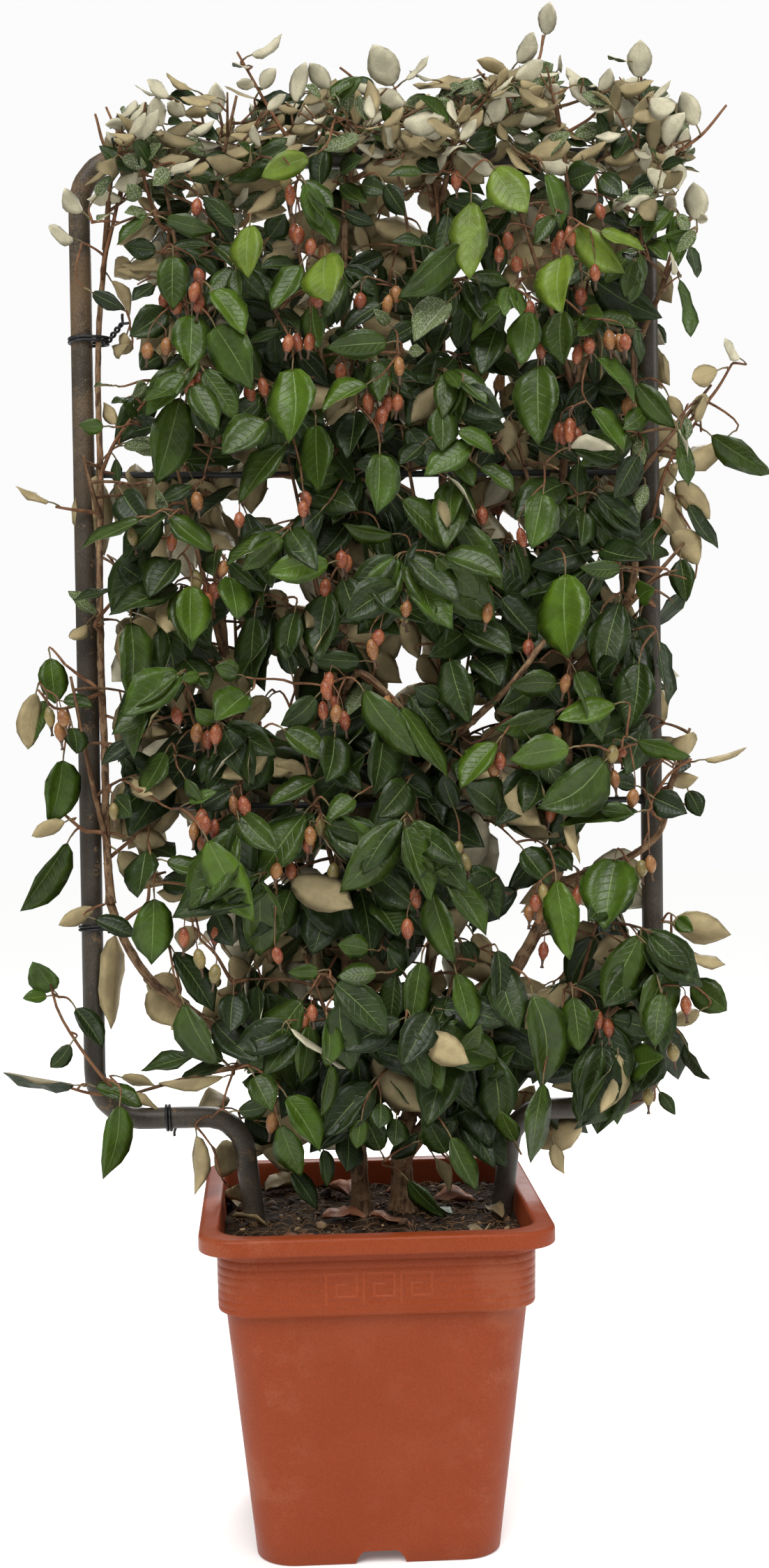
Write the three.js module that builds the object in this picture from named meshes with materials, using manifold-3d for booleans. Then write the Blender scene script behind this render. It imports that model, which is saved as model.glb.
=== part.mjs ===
// Potted espaliered silverberry: an evergreen fruiting shrub trained flat on a bent tube frame
// that stands in the same square pot. Millimetres, +Z up, the front faces -Y.
// The origin is the middle of the pot's flat underside.
import * as THREE from "three";
import { mergeVertices } from "three/addons/utils/BufferGeometryUtils.js";
import Module from "manifold-3d";

const wasm = await Module();
wasm.setup();

// Running gap left between pieces that touch
const GAP = 0.3;

// Square pot: half widths, heights above the floor and corner radius
const POT = {
  height: 335,
  baseHalf: 121,
  bodyHalf: 147,
  bandHalf: 154.5,
  bandFoot: 256,
  rimHalf: 172.5,
  rimHeight: 17,
  mouthHalf: 152.5,
  floorHalf: 117,
  floor: 16,
  corner: 38,
  innerCorner: 32,
  cornerSteps: 3,
  stepRise: 4,
  footChamfer: 2,
  bandDraft: 1,
  rimUndercut: 2,
  rimRound: 3,
  rimBevel: [4, 5],
};
const NOTCH = { footWidth: 52, topWidth: 33, height: 13, depth: 42 };
const SOIL_TOP = 312;
const SOIL = { slack: 0.4, socketSlack: 0.7, socketSides: 16 };

// Espalier frame: one tube bent to 600 x 1000 outside, on two legs set in the soil
const FRAME = {
  centreX: 8.4,
  halfWidth: 289,
  top: 1397,
  rail: 419,
  radius: 11,
  bore: 9.4,
  corner: 50,
  legCorner: 40,
  legHalf: 128,
  legLean: 0.12,
  legFoot: 180,
  sides: 10,
  boreSides: 6,
  arcSteps: 4,
};
const ROD = { radius: 3.25, heights: [1077, 739], sides: 6 };
const TIE = { wire: 1.6, wireSides: 5, steps: 10 };

// Leaves, twigs and fruit at life size
const LEAF = {
  shortest: 94,
  longest: 122,
  ratio: 0.76,
  thickness: 2.6,
  fold: 7,
  sink: 0.4,
  waist: 0.45,
  samples: 8,
};
const YOUNG = 0.6;
const FRUIT = {
  length: 21,
  radius: 5.8,
  stalk: 15,
  stalkRadius: 1.1,
  inset: 4,
  sway: 4,
  forward: -3,
  at: 0.54,
  room: 3,
};
const STEM = { radius: 4.2, tipRadius: 2.6, steps: 3 };
const TWIG = { radius: 2, tipRadius: 1.4, first: 0.34, span: 0.5, lengthRange: 0.2 };
const CROWN = {
  left: -377,
  right: 421,
  top: 1557,
  depth: 162,
  overPot: 349,
  overSoil: 322,
  inMouth: 144,
  pastRim: 184,
};
const GOLDEN_ANGLE = Math.PI * (3 - Math.sqrt(5));

const COLOURS = {
  pot: new THREE.Color(0xb4532f),
  soil: new THREE.Color(0x33241b),
  steel: new THREE.Color(0x3a3c42),
  tie: new THREE.Color(0x17181a),
  bark: new THREE.Color(0x6d5440),
  leaf: new THREE.Color(0x2f5223),
};

const vector = (x, y, z) => new THREE.Vector3(x, y, z);
const UP = vector(0, 0, 1);

// A repeatable stream of numbers from 0 to 1
function seededRandom(seed) {
  let state = seed * 7919 + 17;
  return () => {
    state = (state + 0x6d2b79f5) | 0;
    let mixed = Math.imul(state ^ (state >>> 15), 1 | state);
    mixed = (mixed + Math.imul(mixed ^ (mixed >>> 7), 61 | mixed)) ^ mixed;
    return ((mixed ^ (mixed >>> 14)) >>> 0) / 4294967296;
  };
}

// Triangles over shared points, as an indexed geometry
function meshOf(points, faces) {
  const geometry = new THREE.BufferGeometry();
  const places = points.flatMap((point) => point.toArray());
  geometry.setAttribute("position", new THREE.Float32BufferAttribute(places, 3));
  geometry.setIndex(faces.flat());
  return geometry;
}

// A closed body through a row of rings with equal numbers of points, flat at both ends
function loft(rings) {
  const count = rings[0].length;
  const faces = [];
  for (let row = 0; row + 1 < rings.length; row += 1) {
    for (let k = 0; k < count; k += 1) {
      const a = row * count + k;
      const b = row * count + ((k + 1) % count);
      faces.push([a, b, b + count], [a, b + count, a + count]);
    }
  }
  const last = (rings.length - 1) * count;
  for (let k = 1; k + 1 < count; k += 1) {
    faces.push([0, k + 1, k], [last, last + k, last + k + 1]);
  }
  return meshOf(rings.flat(), faces);
}

// A geometry as a solid that can be joined and cut
function solid(geometry) {
  const bare = geometry.clone();
  bare.deleteAttribute("normal");
  bare.deleteAttribute("uv");
  const merged = mergeVertices(bare, 1e-3);
  const vertProperties = Float32Array.from(merged.attributes.position.array);
  const triVerts = Uint32Array.from(merged.index.array);
  return new wasm.Manifold(new wasm.Mesh({ numProp: 3, vertProperties, triVerts }));
}

function geometryOf(body) {
  const mesh = body.getMesh();
  const geometry = new THREE.BufferGeometry();
  geometry.setAttribute("position", new THREE.BufferAttribute(Float32Array.from(mesh.vertProperties), 3));
  geometry.setIndex(Array.from(mesh.triVerts));
  return geometry;
}

// The largest body of a cut or join: scraps and sealed hollows are left behind
function mainBody(body) {
  return body.decompose().reduce((best, piece) => (piece.volume() > best.volume() ? piece : best));
}

// Pot and soil

// A square with round corners at one height, anticlockwise
function roundedSquare(half, height, corner = POT.corner) {
  const ring = [];
  for (let side = 0; side < 4; side += 1) {
    const middle = (side + 0.5) * (Math.PI / 2);
    const reach = (half - corner) * Math.SQRT2;
    for (let step = 0; step <= POT.cornerSteps; step += 1) {
      const turn = (side + step / POT.cornerSteps) * (Math.PI / 2);
      ring.push(vector(
        reach * Math.cos(middle) + corner * Math.cos(turn),
        reach * Math.sin(middle) + corner * Math.sin(turn),
        height,
      ));
    }
  }
  return ring;
}

// The inner wall leans out evenly from the pot's floor to its mouth
function innerHalf(height) {
  return THREE.MathUtils.mapLinear(height, POT.floor, POT.height, POT.floorHalf, POT.mouthHalf);
}

// The shallow feet between the four sides are what notches leave standing
function notchCutter(side) {
  const outline = new THREE.Shape([
    new THREE.Vector2(-NOTCH.footWidth / 2, -1),
    new THREE.Vector2(NOTCH.footWidth / 2, -1),
    new THREE.Vector2(NOTCH.topWidth / 2, NOTCH.height),
    new THREE.Vector2(-NOTCH.topWidth / 2, NOTCH.height),
  ]);
  const cutter = new THREE.ExtrudeGeometry(outline, { depth: NOTCH.depth * 2, bevelEnabled: false });
  cutter.rotateX(Math.PI / 2);
  cutter.translate(0, POT.baseHalf + NOTCH.depth, 0);
  cutter.rotateZ(side * (Math.PI / 2));
  return solid(cutter);
}

function potGeometry() {
  const rimFoot = POT.height - POT.rimHeight;
  const [bevelHeight, bevelWidth] = POT.rimBevel;
  let pot = solid(loft([
    roundedSquare(POT.baseHalf - POT.footChamfer, 0),
    roundedSquare(POT.baseHalf, POT.footChamfer),
    roundedSquare(POT.bodyHalf, POT.bandFoot - POT.stepRise),
    roundedSquare(POT.bandHalf, POT.bandFoot),
    roundedSquare(POT.bandHalf + POT.bandDraft, rimFoot - POT.stepRise),
    roundedSquare(POT.rimHalf - POT.rimUndercut, rimFoot),
    roundedSquare(POT.rimHalf, rimFoot + POT.rimRound),
    roundedSquare(POT.rimHalf, POT.height - bevelHeight),
    roundedSquare(POT.rimHalf - bevelWidth, POT.height),
    roundedSquare(POT.mouthHalf, POT.height, POT.innerCorner),
    roundedSquare(POT.floorHalf, POT.floor, POT.innerCorner),
  ]));
  for (let side = 0; side < 4; side += 1) {
    pot = pot.subtract(notchCutter(side));
  }
  return geometryOf(mainBody(pot));
}

// The soil fills the pot to its top level, with a socket round each frame leg
function soilGeometry() {
  const under = POT.floor + GAP;
  let soil = solid(loft([
    roundedSquare(innerHalf(under) - SOIL.slack, under, POT.innerCorner),
    roundedSquare(innerHalf(SOIL_TOP) - SOIL.slack, SOIL_TOP, POT.innerCorner),
  ]));
  const socket = FRAME.radius + SOIL.socketSlack;
  for (const side of [-1, 1]) {
    const { foot, knee } = frameCorners(side);
    foot.z -= GAP;
    soil = soil.subtract(solid(limb([foot, knee], [socket, socket], 1, SOIL.socketSides)));
  }
  return geometryOf(mainBody(soil));
}

// Frame

// A path that is read only at its own stations, each with its own direction
class StationPath extends THREE.Curve {
  constructor(stations) {
    super();
    this.stations = stations;
  }

  at(u) {
    return this.stations[Math.round(u * (this.stations.length - 1))];
  }

  getPoint(u) {
    return this.at(u).point.clone();
  }

  getPointAt(u) {
    return this.getPoint(u);
  }

  getTangentAt(u) {
    return this.at(u).tangent.clone();
  }
}

// A hollow tube through the given stations
function tube(stations) {
  return new THREE.ExtrudeGeometry(tubeSection(), {
    steps: stations.length - 1,
    bevelEnabled: false,
    extrudePath: new StationPath(stations),
  });
}

// The tube's section: a many-sided outside and a plainer bore
function tubeSection() {
  const corners = (radius, sides) => Array.from({ length: sides }, (_, k) => {
    const turn = (k / sides) * Math.PI * 2;
    return new THREE.Vector2(radius * Math.cos(turn), radius * Math.sin(turn));
  });
  const section = new THREE.Shape(corners(FRAME.radius, FRAME.sides));
  section.holes.push(new THREE.Path(corners(FRAME.bore, FRAME.boreSides)));
  return section;
}

const station = (point, tangent) => ({ point, tangent: tangent.clone().normalize() });

// Stations round a corner between two straight runs
function arcStations(from, corner, to, radius) {
  const into = corner.clone().sub(from).normalize();
  const out = to.clone().sub(corner).normalize();
  const turn = into.angleTo(out);
  const setback = radius * Math.tan(turn / 2);
  const start = corner.clone().addScaledVector(into, -setback);
  const side = out.clone().addScaledVector(into, -out.dot(into)).normalize();
  const stations = [];
  for (let step = 0; step <= FRAME.arcSteps; step += 1) {
    const angle = (turn * step) / FRAME.arcSteps;
    const point = start.clone()
      .addScaledVector(into, radius * Math.sin(angle))
      .addScaledVector(side, radius * (1 - Math.cos(angle)));
    const tangent = into.clone().multiplyScalar(Math.cos(angle)).addScaledVector(side, Math.sin(angle));
    stations.push(station(point, tangent));
  }
  return stations;
}

// The frame's corner points on one side, from the leg's foot to the top
function frameCorners(side) {
  const at = (half, height) => vector(FRAME.centreX + side * half, 0, height);
  const legAt = (height) => at(FRAME.legHalf + FRAME.legLean * (height - SOIL_TOP), height);
  return {
    foot: legAt(FRAME.legFoot),
    knee: legAt(FRAME.rail),
    lower: at(FRAME.halfWidth, FRAME.rail),
    upper: at(FRAME.halfWidth, FRAME.top),
    across: at(-FRAME.halfWidth, FRAME.top),
    acrossLower: at(-FRAME.halfWidth, FRAME.rail),
  };
}

// The leg, its bend, the bottom rail and the lower corner on one side
function footStations(side) {
  const { foot, knee, lower, upper } = frameCorners(side);
  const leg = knee.clone().sub(foot);
  return [
    station(foot, leg),
    ...arcStations(foot, knee, lower, FRAME.legCorner),
    ...arcStations(knee, lower, upper, FRAME.corner),
  ];
}

function uprightStations(side) {
  const { lower, upper } = frameCorners(side);
  const start = lower.clone().addScaledVector(UP, FRAME.corner + GAP);
  const end = upper.clone().addScaledVector(UP, -FRAME.corner - GAP);
  return [station(start, UP), station(end, UP)];
}

function topStations() {
  const { lower, upper, across, acrossLower } = frameCorners(-1);
  return [
    ...arcStations(lower, upper, across, FRAME.corner),
    ...arcStations(upper, across, acrossLower, FRAME.corner),
  ];
}

function rodEnds(height) {
  const reach = FRAME.halfWidth - FRAME.radius - GAP;
  return [vector(FRAME.centreX - reach, 0, height), vector(FRAME.centreX + reach, 0, height)];
}

// Ties: a closed loop of wire round the tube, drawn out to one side where it also holds a stem
function tieGeometry({ centre, axis, stretch }) {
  const loop = new THREE.TorusGeometry(
    FRAME.radius + GAP + TIE.wire, TIE.wire, TIE.wireSides, TIE.steps,
  );
  const places = loop.attributes.position;
  for (let k = 0; k < places.count; k += 1) {
    if (places.getX(k) > 0) places.setX(k, places.getX(k) + stretch);
  }
  loop.applyQuaternion(new THREE.Quaternion().setFromUnitVectors(UP, axis));
  loop.translate(centre.x, centre.y, centre.z);
  return geometryOf(solid(loop));
}

const tubeX = (side) => FRAME.centreX + side * FRAME.halfWidth;
const TIES = {
  tie_left_upright: { centre: vector(tubeX(-1), 0, 1212), axis: UP, stretch: 14 },
  tie_bottom_rail: { centre: vector(-206, 0, FRAME.rail), axis: vector(1, 0, 0), stretch: 0 },
};

// Stems and boughs

// A round limb along a smooth line through its points, tapering evenly from root to tip
function limb(points, [rootRadius, tipRadius], steps, sides = 6) {
  const line = new THREE.CatmullRomCurve3(points);
  const frames = line.computeFrenetFrames(steps, false);
  const centres = line.getSpacedPoints(steps);
  return loft(centres.map((centre, row) => {
    const radius = THREE.MathUtils.lerp(rootRadius, tipRadius, row / steps);
    return Array.from({ length: sides }, (_, k) => {
      const turn = (k / sides) * Math.PI * 2;
      return centre.clone()
        .addScaledVector(frames.normals[row], radius * Math.cos(turn))
        .addScaledVector(frames.binormals[row], radius * Math.sin(turn));
    });
  }));
}

// Trunks rise from a flat cut at soil level: level rings, wide and lobed at the root flare
const TRUNKS = {
  trunk_left: {
    points: [vector(-8, 8, SOIL_TOP + GAP), vector(-10, 6, 345), vector(-12, 3, 385), vector(-16, 0, 432)],
    radii: [9.5, 7.2],
    flare: 4,
  },
  trunk_right: {
    points: [vector(35, 8, SOIL_TOP + GAP), vector(33, 6, 345), vector(34, 3, 378), vector(39, 2, 412)],
    radii: [12.5, 9.5],
    flare: 6,
  },
};
const TRUNK = { sides: 10, steps: 5, flareHeight: 14, lobes: 4, lobeDepth: 0.3 };

function trunkRadius({ radii, flare }, share, height) {
  const taper = THREE.MathUtils.lerp(radii[0], radii[1], share);
  return { taper, flare: flare * Math.exp(-height / TRUNK.flareHeight) };
}

function trunkGeometry(trunk, grow = 0) {
  const line = new THREE.CatmullRomCurve3(trunk.points);
  const foot = trunk.points[0].z;
  const centres = line.getSpacedPoints(TRUNK.steps);
  const rings = centres.map((centre, row) => {
    const { taper, flare } = trunkRadius(trunk, row / TRUNK.steps, centre.z - foot);
    return Array.from({ length: TRUNK.sides }, (_, k) => {
      const turn = (k / TRUNK.sides) * Math.PI * 2;
      const lobe = 1 + TRUNK.lobeDepth * Math.cos(TRUNK.lobes * turn);
      const radius = taper + flare * lobe + grow;
      return vector(centre.x + radius * Math.cos(turn), centre.y + radius * Math.sin(turn), centre.z);
    });
  });
  if (grow > 0) {
    const lift = (ring, by) => ring.map((p) => p.clone().addScaledVector(UP, by));
    rings.unshift(lift(rings[0], -grow));
    rings.push(lift(rings[rings.length - 1], grow));
  }
  return loft(rings);
}

// Boughs: the points each one passes from its root on an earlier limb, and its two end radii
const BOUGHS = {
  bough_left_low: {
    points: [[-11, 4, 372], [-60, -3, 420], [-113, -7, 466], [-153, -8, 508], [-198, -9, 542],
      [-226, -10, 568], [-249, -12, 610], [-261, -13, 642]],
    radii: [5.6, 4.3],
  },
  bough_left_high: {
    points: [[-261, -13, 642], [-263, -13, 700], [-265, -12, 860], [-264, -9, 1060],
      [-263, -6, 1212], [-252, -9, 1332]],
    radii: [4.2, 2.6],
  },
  bough_inner_left: {
    points: [[-14, 2, 408], [-48, 8, 478], [-84, 11, 545], [-101, 11, 589], [-114, 11, 630],
      [-128, 11, 740], [-138, 11, 850], [-154, 11, 1063], [-158, 11, 1292]],
    radii: [6.2, 3],
  },
  bough_centre_left: {
    points: [[-16, 0, 430], [-20, -7, 526], [-22, -11, 663], [-22, -11, 849],
      [-17, -11, 1133], [-11, -11, 1375]],
    radii: [6.4, 3],
  },
  bough_centre_right: {
    points: [[40, 2, 410], [53, 8, 488], [82, 12, 711], [85, 12, 830], [85, 12, 1076],
      [85, 3, 1210], [83, -12, 1310], [74, -18, 1404]],
    radii: [6.6, 3.2],
  },
  bough_right_low: {
    points: [[37, 3, 380], [73, -4, 424], [113, -8, 491], [150, -11, 560], [179, -12, 615],
      [198, -12, 668]],
    radii: [7.6, 6.2],
  },
  bough_right_high: {
    points: [[198, -12, 668], [206, -12, 730], [210, -12, 875], [204, -12, 1004], [206, -12, 1070],
      [224, -12, 1193], [217, -11, 1338]],
    radii: [6.1, 2.8],
  },
  bough_right_cross: {
    points: [[192, -12, 650], [224, -17, 664], [258, -23, 675], [298, -27, 704], [312, -24, 752]],
    radii: [4.4, 3],
  },
  bough_right_outer: {
    points: [[210, -12, 866], [244, -20, 902], [272, -25, 952], [277, -25, 1061],
      [279, -25, 1204], [284, -21, 1300]],
    radii: [4.6, 2.7],
  },
  bough_right_side: {
    points: [[96, -6, 462], [149, -16, 463], [176, -18, 470], [219, -20, 499], [270, -21, 534]],
    radii: [4.4, 2.7],
  },
};
const BOUGH_STEP = 75;

const boughLine = (bough) => new THREE.CatmullRomCurve3(bough.points.map((p) => vector(...p)));

// A bough's solid, or the same grown all round to cut its neighbours clear of it
function boughSolid(bough, grow = 0) {
  const line = boughLine(bough);
  const steps = Math.max(4, Math.round(line.getLength() / BOUGH_STEP));
  const points = line.getSpacedPoints(steps * 2);
  if (grow > 0) {
    const before = points[0].clone().sub(points[1]).setLength(grow);
    const after = points[points.length - 1].clone().sub(points[points.length - 2]).setLength(grow);
    points.unshift(points[0].clone().add(before));
    points.push(points[points.length - 1].clone().add(after));
  }
  return solid(limb(points, bough.radii.map((radius) => radius + grow), steps));
}

const grownLimb = (name) => (
  TRUNKS[name] ? solid(trunkGeometry(TRUNKS[name], GAP)) : boughSolid(BOUGHS[name], GAP)
);

// Foliage: each mass is one stem that leaves its bough at a height and ends at a tip.
// "small" is the share of young leaves, "rise" turns leaves from hanging (0) to upright (1),
// "spread" is the side twigs' length, "twigs" their number and "fruit" the number of fruits.
const MASSES = {
  left_top: { bough: "left_high", at: 1300, tip: [-238, -32, 1446], rise: 0.5, small: 0.3, twigs: 3 },
  left_upper: { bough: "left_high", at: 1030, tip: [-306, -34, 1074], small: 0.8 },
  left_lower: { bough: "left_high", at: 700, tip: [-326, -38, 900], small: 0.2, twigs: 3 },
  left_foot: { bough: "left_low", at: 512, tip: [-326, -32, 484], small: 0.3, spread: 84 },
  inner_left_top: {
    bough: "inner_left", at: 1285, tip: [-120, -34, 1486],
    rise: 0.7, small: 0.3, twigs: 4,
  },
  inner_left_front_high: { bough: "inner_left", at: 1130, tip: [-194, -36, 1370], twigs: 3 },
  inner_left_front: { bough: "inner_left", at: 880, tip: [-194, -36, 1120], twigs: 3, fruit: 1 },
  inner_left_front_low: { bough: "inner_left", at: 640, tip: [-186, -36, 870], twigs: 3, fruit: 1 },
  inner_left_back_high: { bough: "inner_left", at: 1010, tip: [-130, 34, 1290] },
  inner_left_back_low: { bough: "inner_left", at: 700, tip: [-132, 34, 960] },
  centre_left_top: { bough: "centre_left", at: 1330, tip: [4, -36, 1484], rise: 0.7, small: 0.3, twigs: 4 },
  centre_left_front_high: { bough: "centre_left", at: 1080, tip: [-74, -36, 1360], twigs: 3, fruit: 1 },
  centre_left_front: { bough: "centre_left", at: 830, tip: [-74, -36, 1090], twigs: 3 },
  centre_left_front_low: { bough: "centre_left", at: 620, tip: [-72, -36, 830], twigs: 3, fruit: 1 },
  centre_left_root: { bough: "centre_left", at: 450, tip: [-66, -36, 590] },
  centre_left_back_high: { bough: "centre_left", at: 960, tip: [-2, 34, 1260] },
  centre_left_back_low: { bough: "centre_left", at: 560, tip: [-4, 34, 850] },
  centre_right_top: {
    bough: "centre_right", at: 1330, tip: [108, -40, 1474],
    rise: 0.6, small: 0.3, twigs: 4,
  },
  centre_right_front_high: { bough: "centre_right", at: 1100, tip: [40, -36, 1370], twigs: 3, fruit: 1 },
  centre_right_front: { bough: "centre_right", at: 840, tip: [40, -36, 1120], twigs: 3 },
  centre_right_front_low: { bough: "centre_right", at: 590, tip: [36, -36, 850], twigs: 3 },
  centre_right_root: { bough: "centre_right", at: 450, tip: [96, -36, 590] },
  centre_right_back_high: { bough: "centre_right", at: 960, tip: [110, 34, 1240] },
  centre_right_back_low: { bough: "centre_right", at: 640, tip: [114, 34, 900] },
  right_top: { bough: "right_high", at: 1310, tip: [198, -34, 1510], rise: 0.7, small: 0.3, twigs: 4 },
  right_front_high: { bough: "right_high", at: 1150, tip: [150, -36, 1370], twigs: 3 },
  right_front: { bough: "right_high", at: 910, tip: [150, -36, 1130], twigs: 3, fruit: 1 },
  right_front_low: { bough: "right_high", at: 700, tip: [146, -36, 890], twigs: 3, fruit: 1 },
  right_back_high: { bough: "right_high", at: 1010, tip: [242, 34, 1280] },
  right_back_low: { bough: "right_high", at: 760, tip: [246, 34, 980] },
  right_foot: { bough: "right_side", at: 478, tip: [240, -36, 640], fruit: 1 },
  outer_right_top: {
    bough: "right_outer", at: 1280, tip: [304, -34, 1462],
    rise: 0.6, small: 0.3, twigs: 4,
  },
  outer_right_high: { bough: "right_outer", at: 1190, tip: [330, -36, 1312], small: 0.2, twigs: 3 },
  outer_right_upper: { bough: "right_outer", at: 1062, tip: [356, -34, 1160], small: 0.2 },
  outer_right_middle: { bough: "right_outer", at: 930, tip: [326, -38, 1000] },
  right_cross_tip: { bough: "right_cross", at: 750, tip: [332, -30, 812], small: 0.3 },
  right_side_tip: { bough: "right_side", at: 532, tip: [328, -34, 590], small: 0.1, fruit: 1 },
};
const MASS_DEFAULTS = { rise: 0, small: 0, spread: 70, twigs: 2, fruit: 0 };

// Growth rule: where leaves sit on the stem and on a side twig, how the stem bends and the
// leaves hang from it, and the room that pieces keep from each other
const GROWTH = {
  stemSlots: [0.97, 0.2, 0.82, 0.36, 0.66, 0.5],
  twigSlots: [0.95, 0.55],
  tries: 34,
  knee: 0.4,
  hang: 62,
  level: 0.6,
  lineSteps: 16,
  trunkRoom: 2,
  otherSide: 45,
  cellGap: 1.6,
  hardGap: 3.5,
  leafGap: 4,
  woodGap: 6,
};

// Headings: how far a side twig turns out, lifts and follows the stem, how far a leaf follows
// its twig, fans out and falls, and how far its face turns and looks up
const TWIG_HEADING = { out: 1.2, lift: 0.6, rise: 0.5, follow: 0.3, turn: 0.5 };
const LEAF_HEADING = { follow: 0.4, followRange: 0.3, fan: 1.3, depth: 0.7, fall: 0.9, fallRange: 0.6 };
const LEAF_FACE = { turn: 0.5, lift: 0.4, liftRange: 0.4, backFrom: 4 };

const FOOT_STEPS = 200;

// The first point of a bough's line that is as high as asked, or its end
function footOn(bough, height) {
  const points = boughLine(bough).getSpacedPoints(FOOT_STEPS);
  return points.find((point) => point.z >= height) ?? points[points.length - 1];
}

// A stem steps out to its own side of the frame and then runs to its tip
function stemPath({ bough, at, tip }) {
  const foot = footOn(BOUGHS[`bough_${bough}`], at);
  const end = vector(...tip);
  const knee = foot.clone().lerp(end, GROWTH.knee);
  knee.y = end.y;
  return [foot, knee, end];
}

function distanceToSegment(p, a, b) {
  const [dx, dy, dz] = [b.x - a.x, b.y - a.y, b.z - a.z];
  const along = ((p.x - a.x) * dx + (p.y - a.y) * dy + (p.z - a.z) * dz) / (dx * dx + dy * dy + dz * dz);
  const share = Math.min(1, Math.max(0, along));
  return Math.hypot(p.x - a.x - share * dx, p.y - a.y - share * dy, p.z - a.z - share * dz);
}

function distanceToPath(point, path) {
  let least = Infinity;
  for (let k = 0; k + 1 < path.length; k += 1) {
    least = Math.min(least, distanceToSegment(point, path[k], path[k + 1]));
  }
  return least;
}

// What foliage keeps clear of: limbs, tubes, rods and ties, as lines with a radius
function obstacles() {
  const list = Object.values(BOUGHS).map((bough) => (
    { path: boughLine(bough).getSpacedPoints(GROWTH.lineSteps), radius: bough.radii[0] }
  ));
  for (const trunk of Object.values(TRUNKS)) {
    list.push({ path: trunk.points, radius: trunk.radii[0] + GROWTH.trunkRoom });
  }
  const tubes = [-1, 1].flatMap((side) => [footStations(side), uprightStations(side)]);
  for (const stations of [...tubes, topStations()]) {
    list.push({ path: stations.map((s) => s.point), radius: FRAME.radius });
  }
  for (const height of ROD.heights) {
    list.push({ path: rodEnds(height), radius: ROD.radius });
  }
  for (const { centre, axis, stretch } of Object.values(TIES)) {
    const reach = FRAME.radius + 2 * TIE.wire + GAP + stretch;
    list.push({ path: [-2, 2].map((by) => centre.clone().addScaledVector(axis, by)), radius: reach });
  }
  return list;
}

// Points spread over a leaf's outline and middle, close enough to find what it would touch
function samplesOf([root, tip, left, right]) {
  const samples = [];
  const waist = root.clone().lerp(tip, LEAF.waist);
  for (let step = 0; step <= LEAF.samples; step += 1) {
    const along = step / LEAF.samples;
    const middle = root.clone().lerp(tip, along);
    const width = along < LEAF.waist ? along / LEAF.waist : (1 - along) / (1 - LEAF.waist);
    samples.push(middle);
    for (const edge of [left, right]) {
      const reach = edge.clone().sub(waist).multiplyScalar(width);
      samples.push(middle.clone().addScaledVector(reach, 0.5), middle.clone().add(reach));
    }
  }
  return samples;
}

// A leaf: folded up along its midrib, keeled below and pointed at both ends
function leafPiece(root, along, face, length) {
  const normal = face.clone().addScaledVector(along, -face.dot(along)).normalize();
  const side = along.clone().cross(normal);
  const waist = root.clone().addScaledVector(along, length * LEAF.waist);
  const half = (length * LEAF.ratio) / 2;
  const start = root.clone().addScaledVector(along, -LEAF.sink);
  const end = root.clone().addScaledVector(along, length);
  const left = waist.clone().addScaledVector(side, -half).addScaledVector(normal, LEAF.fold);
  const right = waist.clone().addScaledVector(side, half).addScaledVector(normal, LEAF.fold);
  const keel = waist.clone().addScaledVector(normal, -LEAF.thickness);
  const points = [start, end, left, right, keel];
  const faces = [[0, 1, 2], [0, 3, 1], [0, 2, 4], [2, 1, 4], [1, 3, 4], [3, 0, 4]];
  return { centre: waist, body: () => solid(meshOf(points, faces)), samples: samplesOf(points) };
}

// A straight three-sided twig
function twigPiece(root, end) {
  const samples = [0, 0.2, 0.4, 0.6, 0.8, 1].map((share) => root.clone().lerp(end, share));
  const body = () => solid(limb([root, end], [TWIG.radius, TWIG.tipRadius], 1, 3));
  return { path: [root, end], centre: end, samples, body };
}

// A fruit: a long eight-sided drop on a short stalk
function fruitPiece(root, lean) {
  const shoulder = root.clone().add(lean).addScaledVector(UP, -FRUIT.stalk);
  const waist = shoulder.clone().addScaledVector(UP, -FRUIT.length / 2);
  const end = shoulder.clone().addScaledVector(UP, -FRUIT.length);
  const around = [0, 1, 2, 3].map((k) => waist.clone().add(vector(
    FRUIT.radius * Math.cos((k * Math.PI) / 2), FRUIT.radius * Math.sin((k * Math.PI) / 2), 0,
  )));
  const points = [shoulder, end, ...around];
  const faces = [0, 1, 2, 3].flatMap((k) => {
    const next = 2 + ((k + 1) % 4);
    return [[0, 2 + k, next], [1, next, 2 + k]];
  });
  const stalk = [root, shoulder.clone().addScaledVector(UP, -FRUIT.inset)];
  const body = () => solid(meshOf(points, faces))
    .add(solid(limb(stalk, [FRUIT.stalkRadius, FRUIT.stalkRadius], 1, 3)));
  return { samples: [root, ...points], body };
}

// Whether a point is inside the crown's reach and above the pot and its soil
function inCrown({ x, y, z }) {
  if (Math.abs(y) > CROWN.depth || x < CROWN.left || x > CROWN.right || z > CROWN.top) return false;
  const inMouth = Math.max(Math.abs(x), Math.abs(y)) < CROWN.inMouth;
  return Math.abs(x) > CROWN.pastRim || z > (inMouth ? CROWN.overSoil : CROWN.overPot);
}

// Whether a piece stays in its mass's own space and clear of all that isn't foliage
function fits(piece, mass, others, hard) {
  return piece.samples.every((point) => {
    if (!inCrown(point)) return false;
    const own = distanceToPath(point, mass.heart) + GROWTH.cellGap;
    if (others.some((other) => distanceToPath(point, other.heart) < own)) return false;
    return !hard.some(({ path, radius }) => distanceToPath(point, path) < radius + GROWTH.hardGap);
  });
}

const apart = (piece, placed, gap) => placed.every((other) => (
  other.samples.every((p) => piece.samples.every((q) => p.distanceTo(q) > gap))
));

// Whether a piece passes every line of wood but the one that its own root is on
const clearOfWood = (piece, wood, root) => piece.samples.every((point) => (
  point.distanceTo(root) < GROWTH.woodGap * 2
    || wood.every((path) => distanceToPath(point, path) > GROWTH.woodGap)
));

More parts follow.
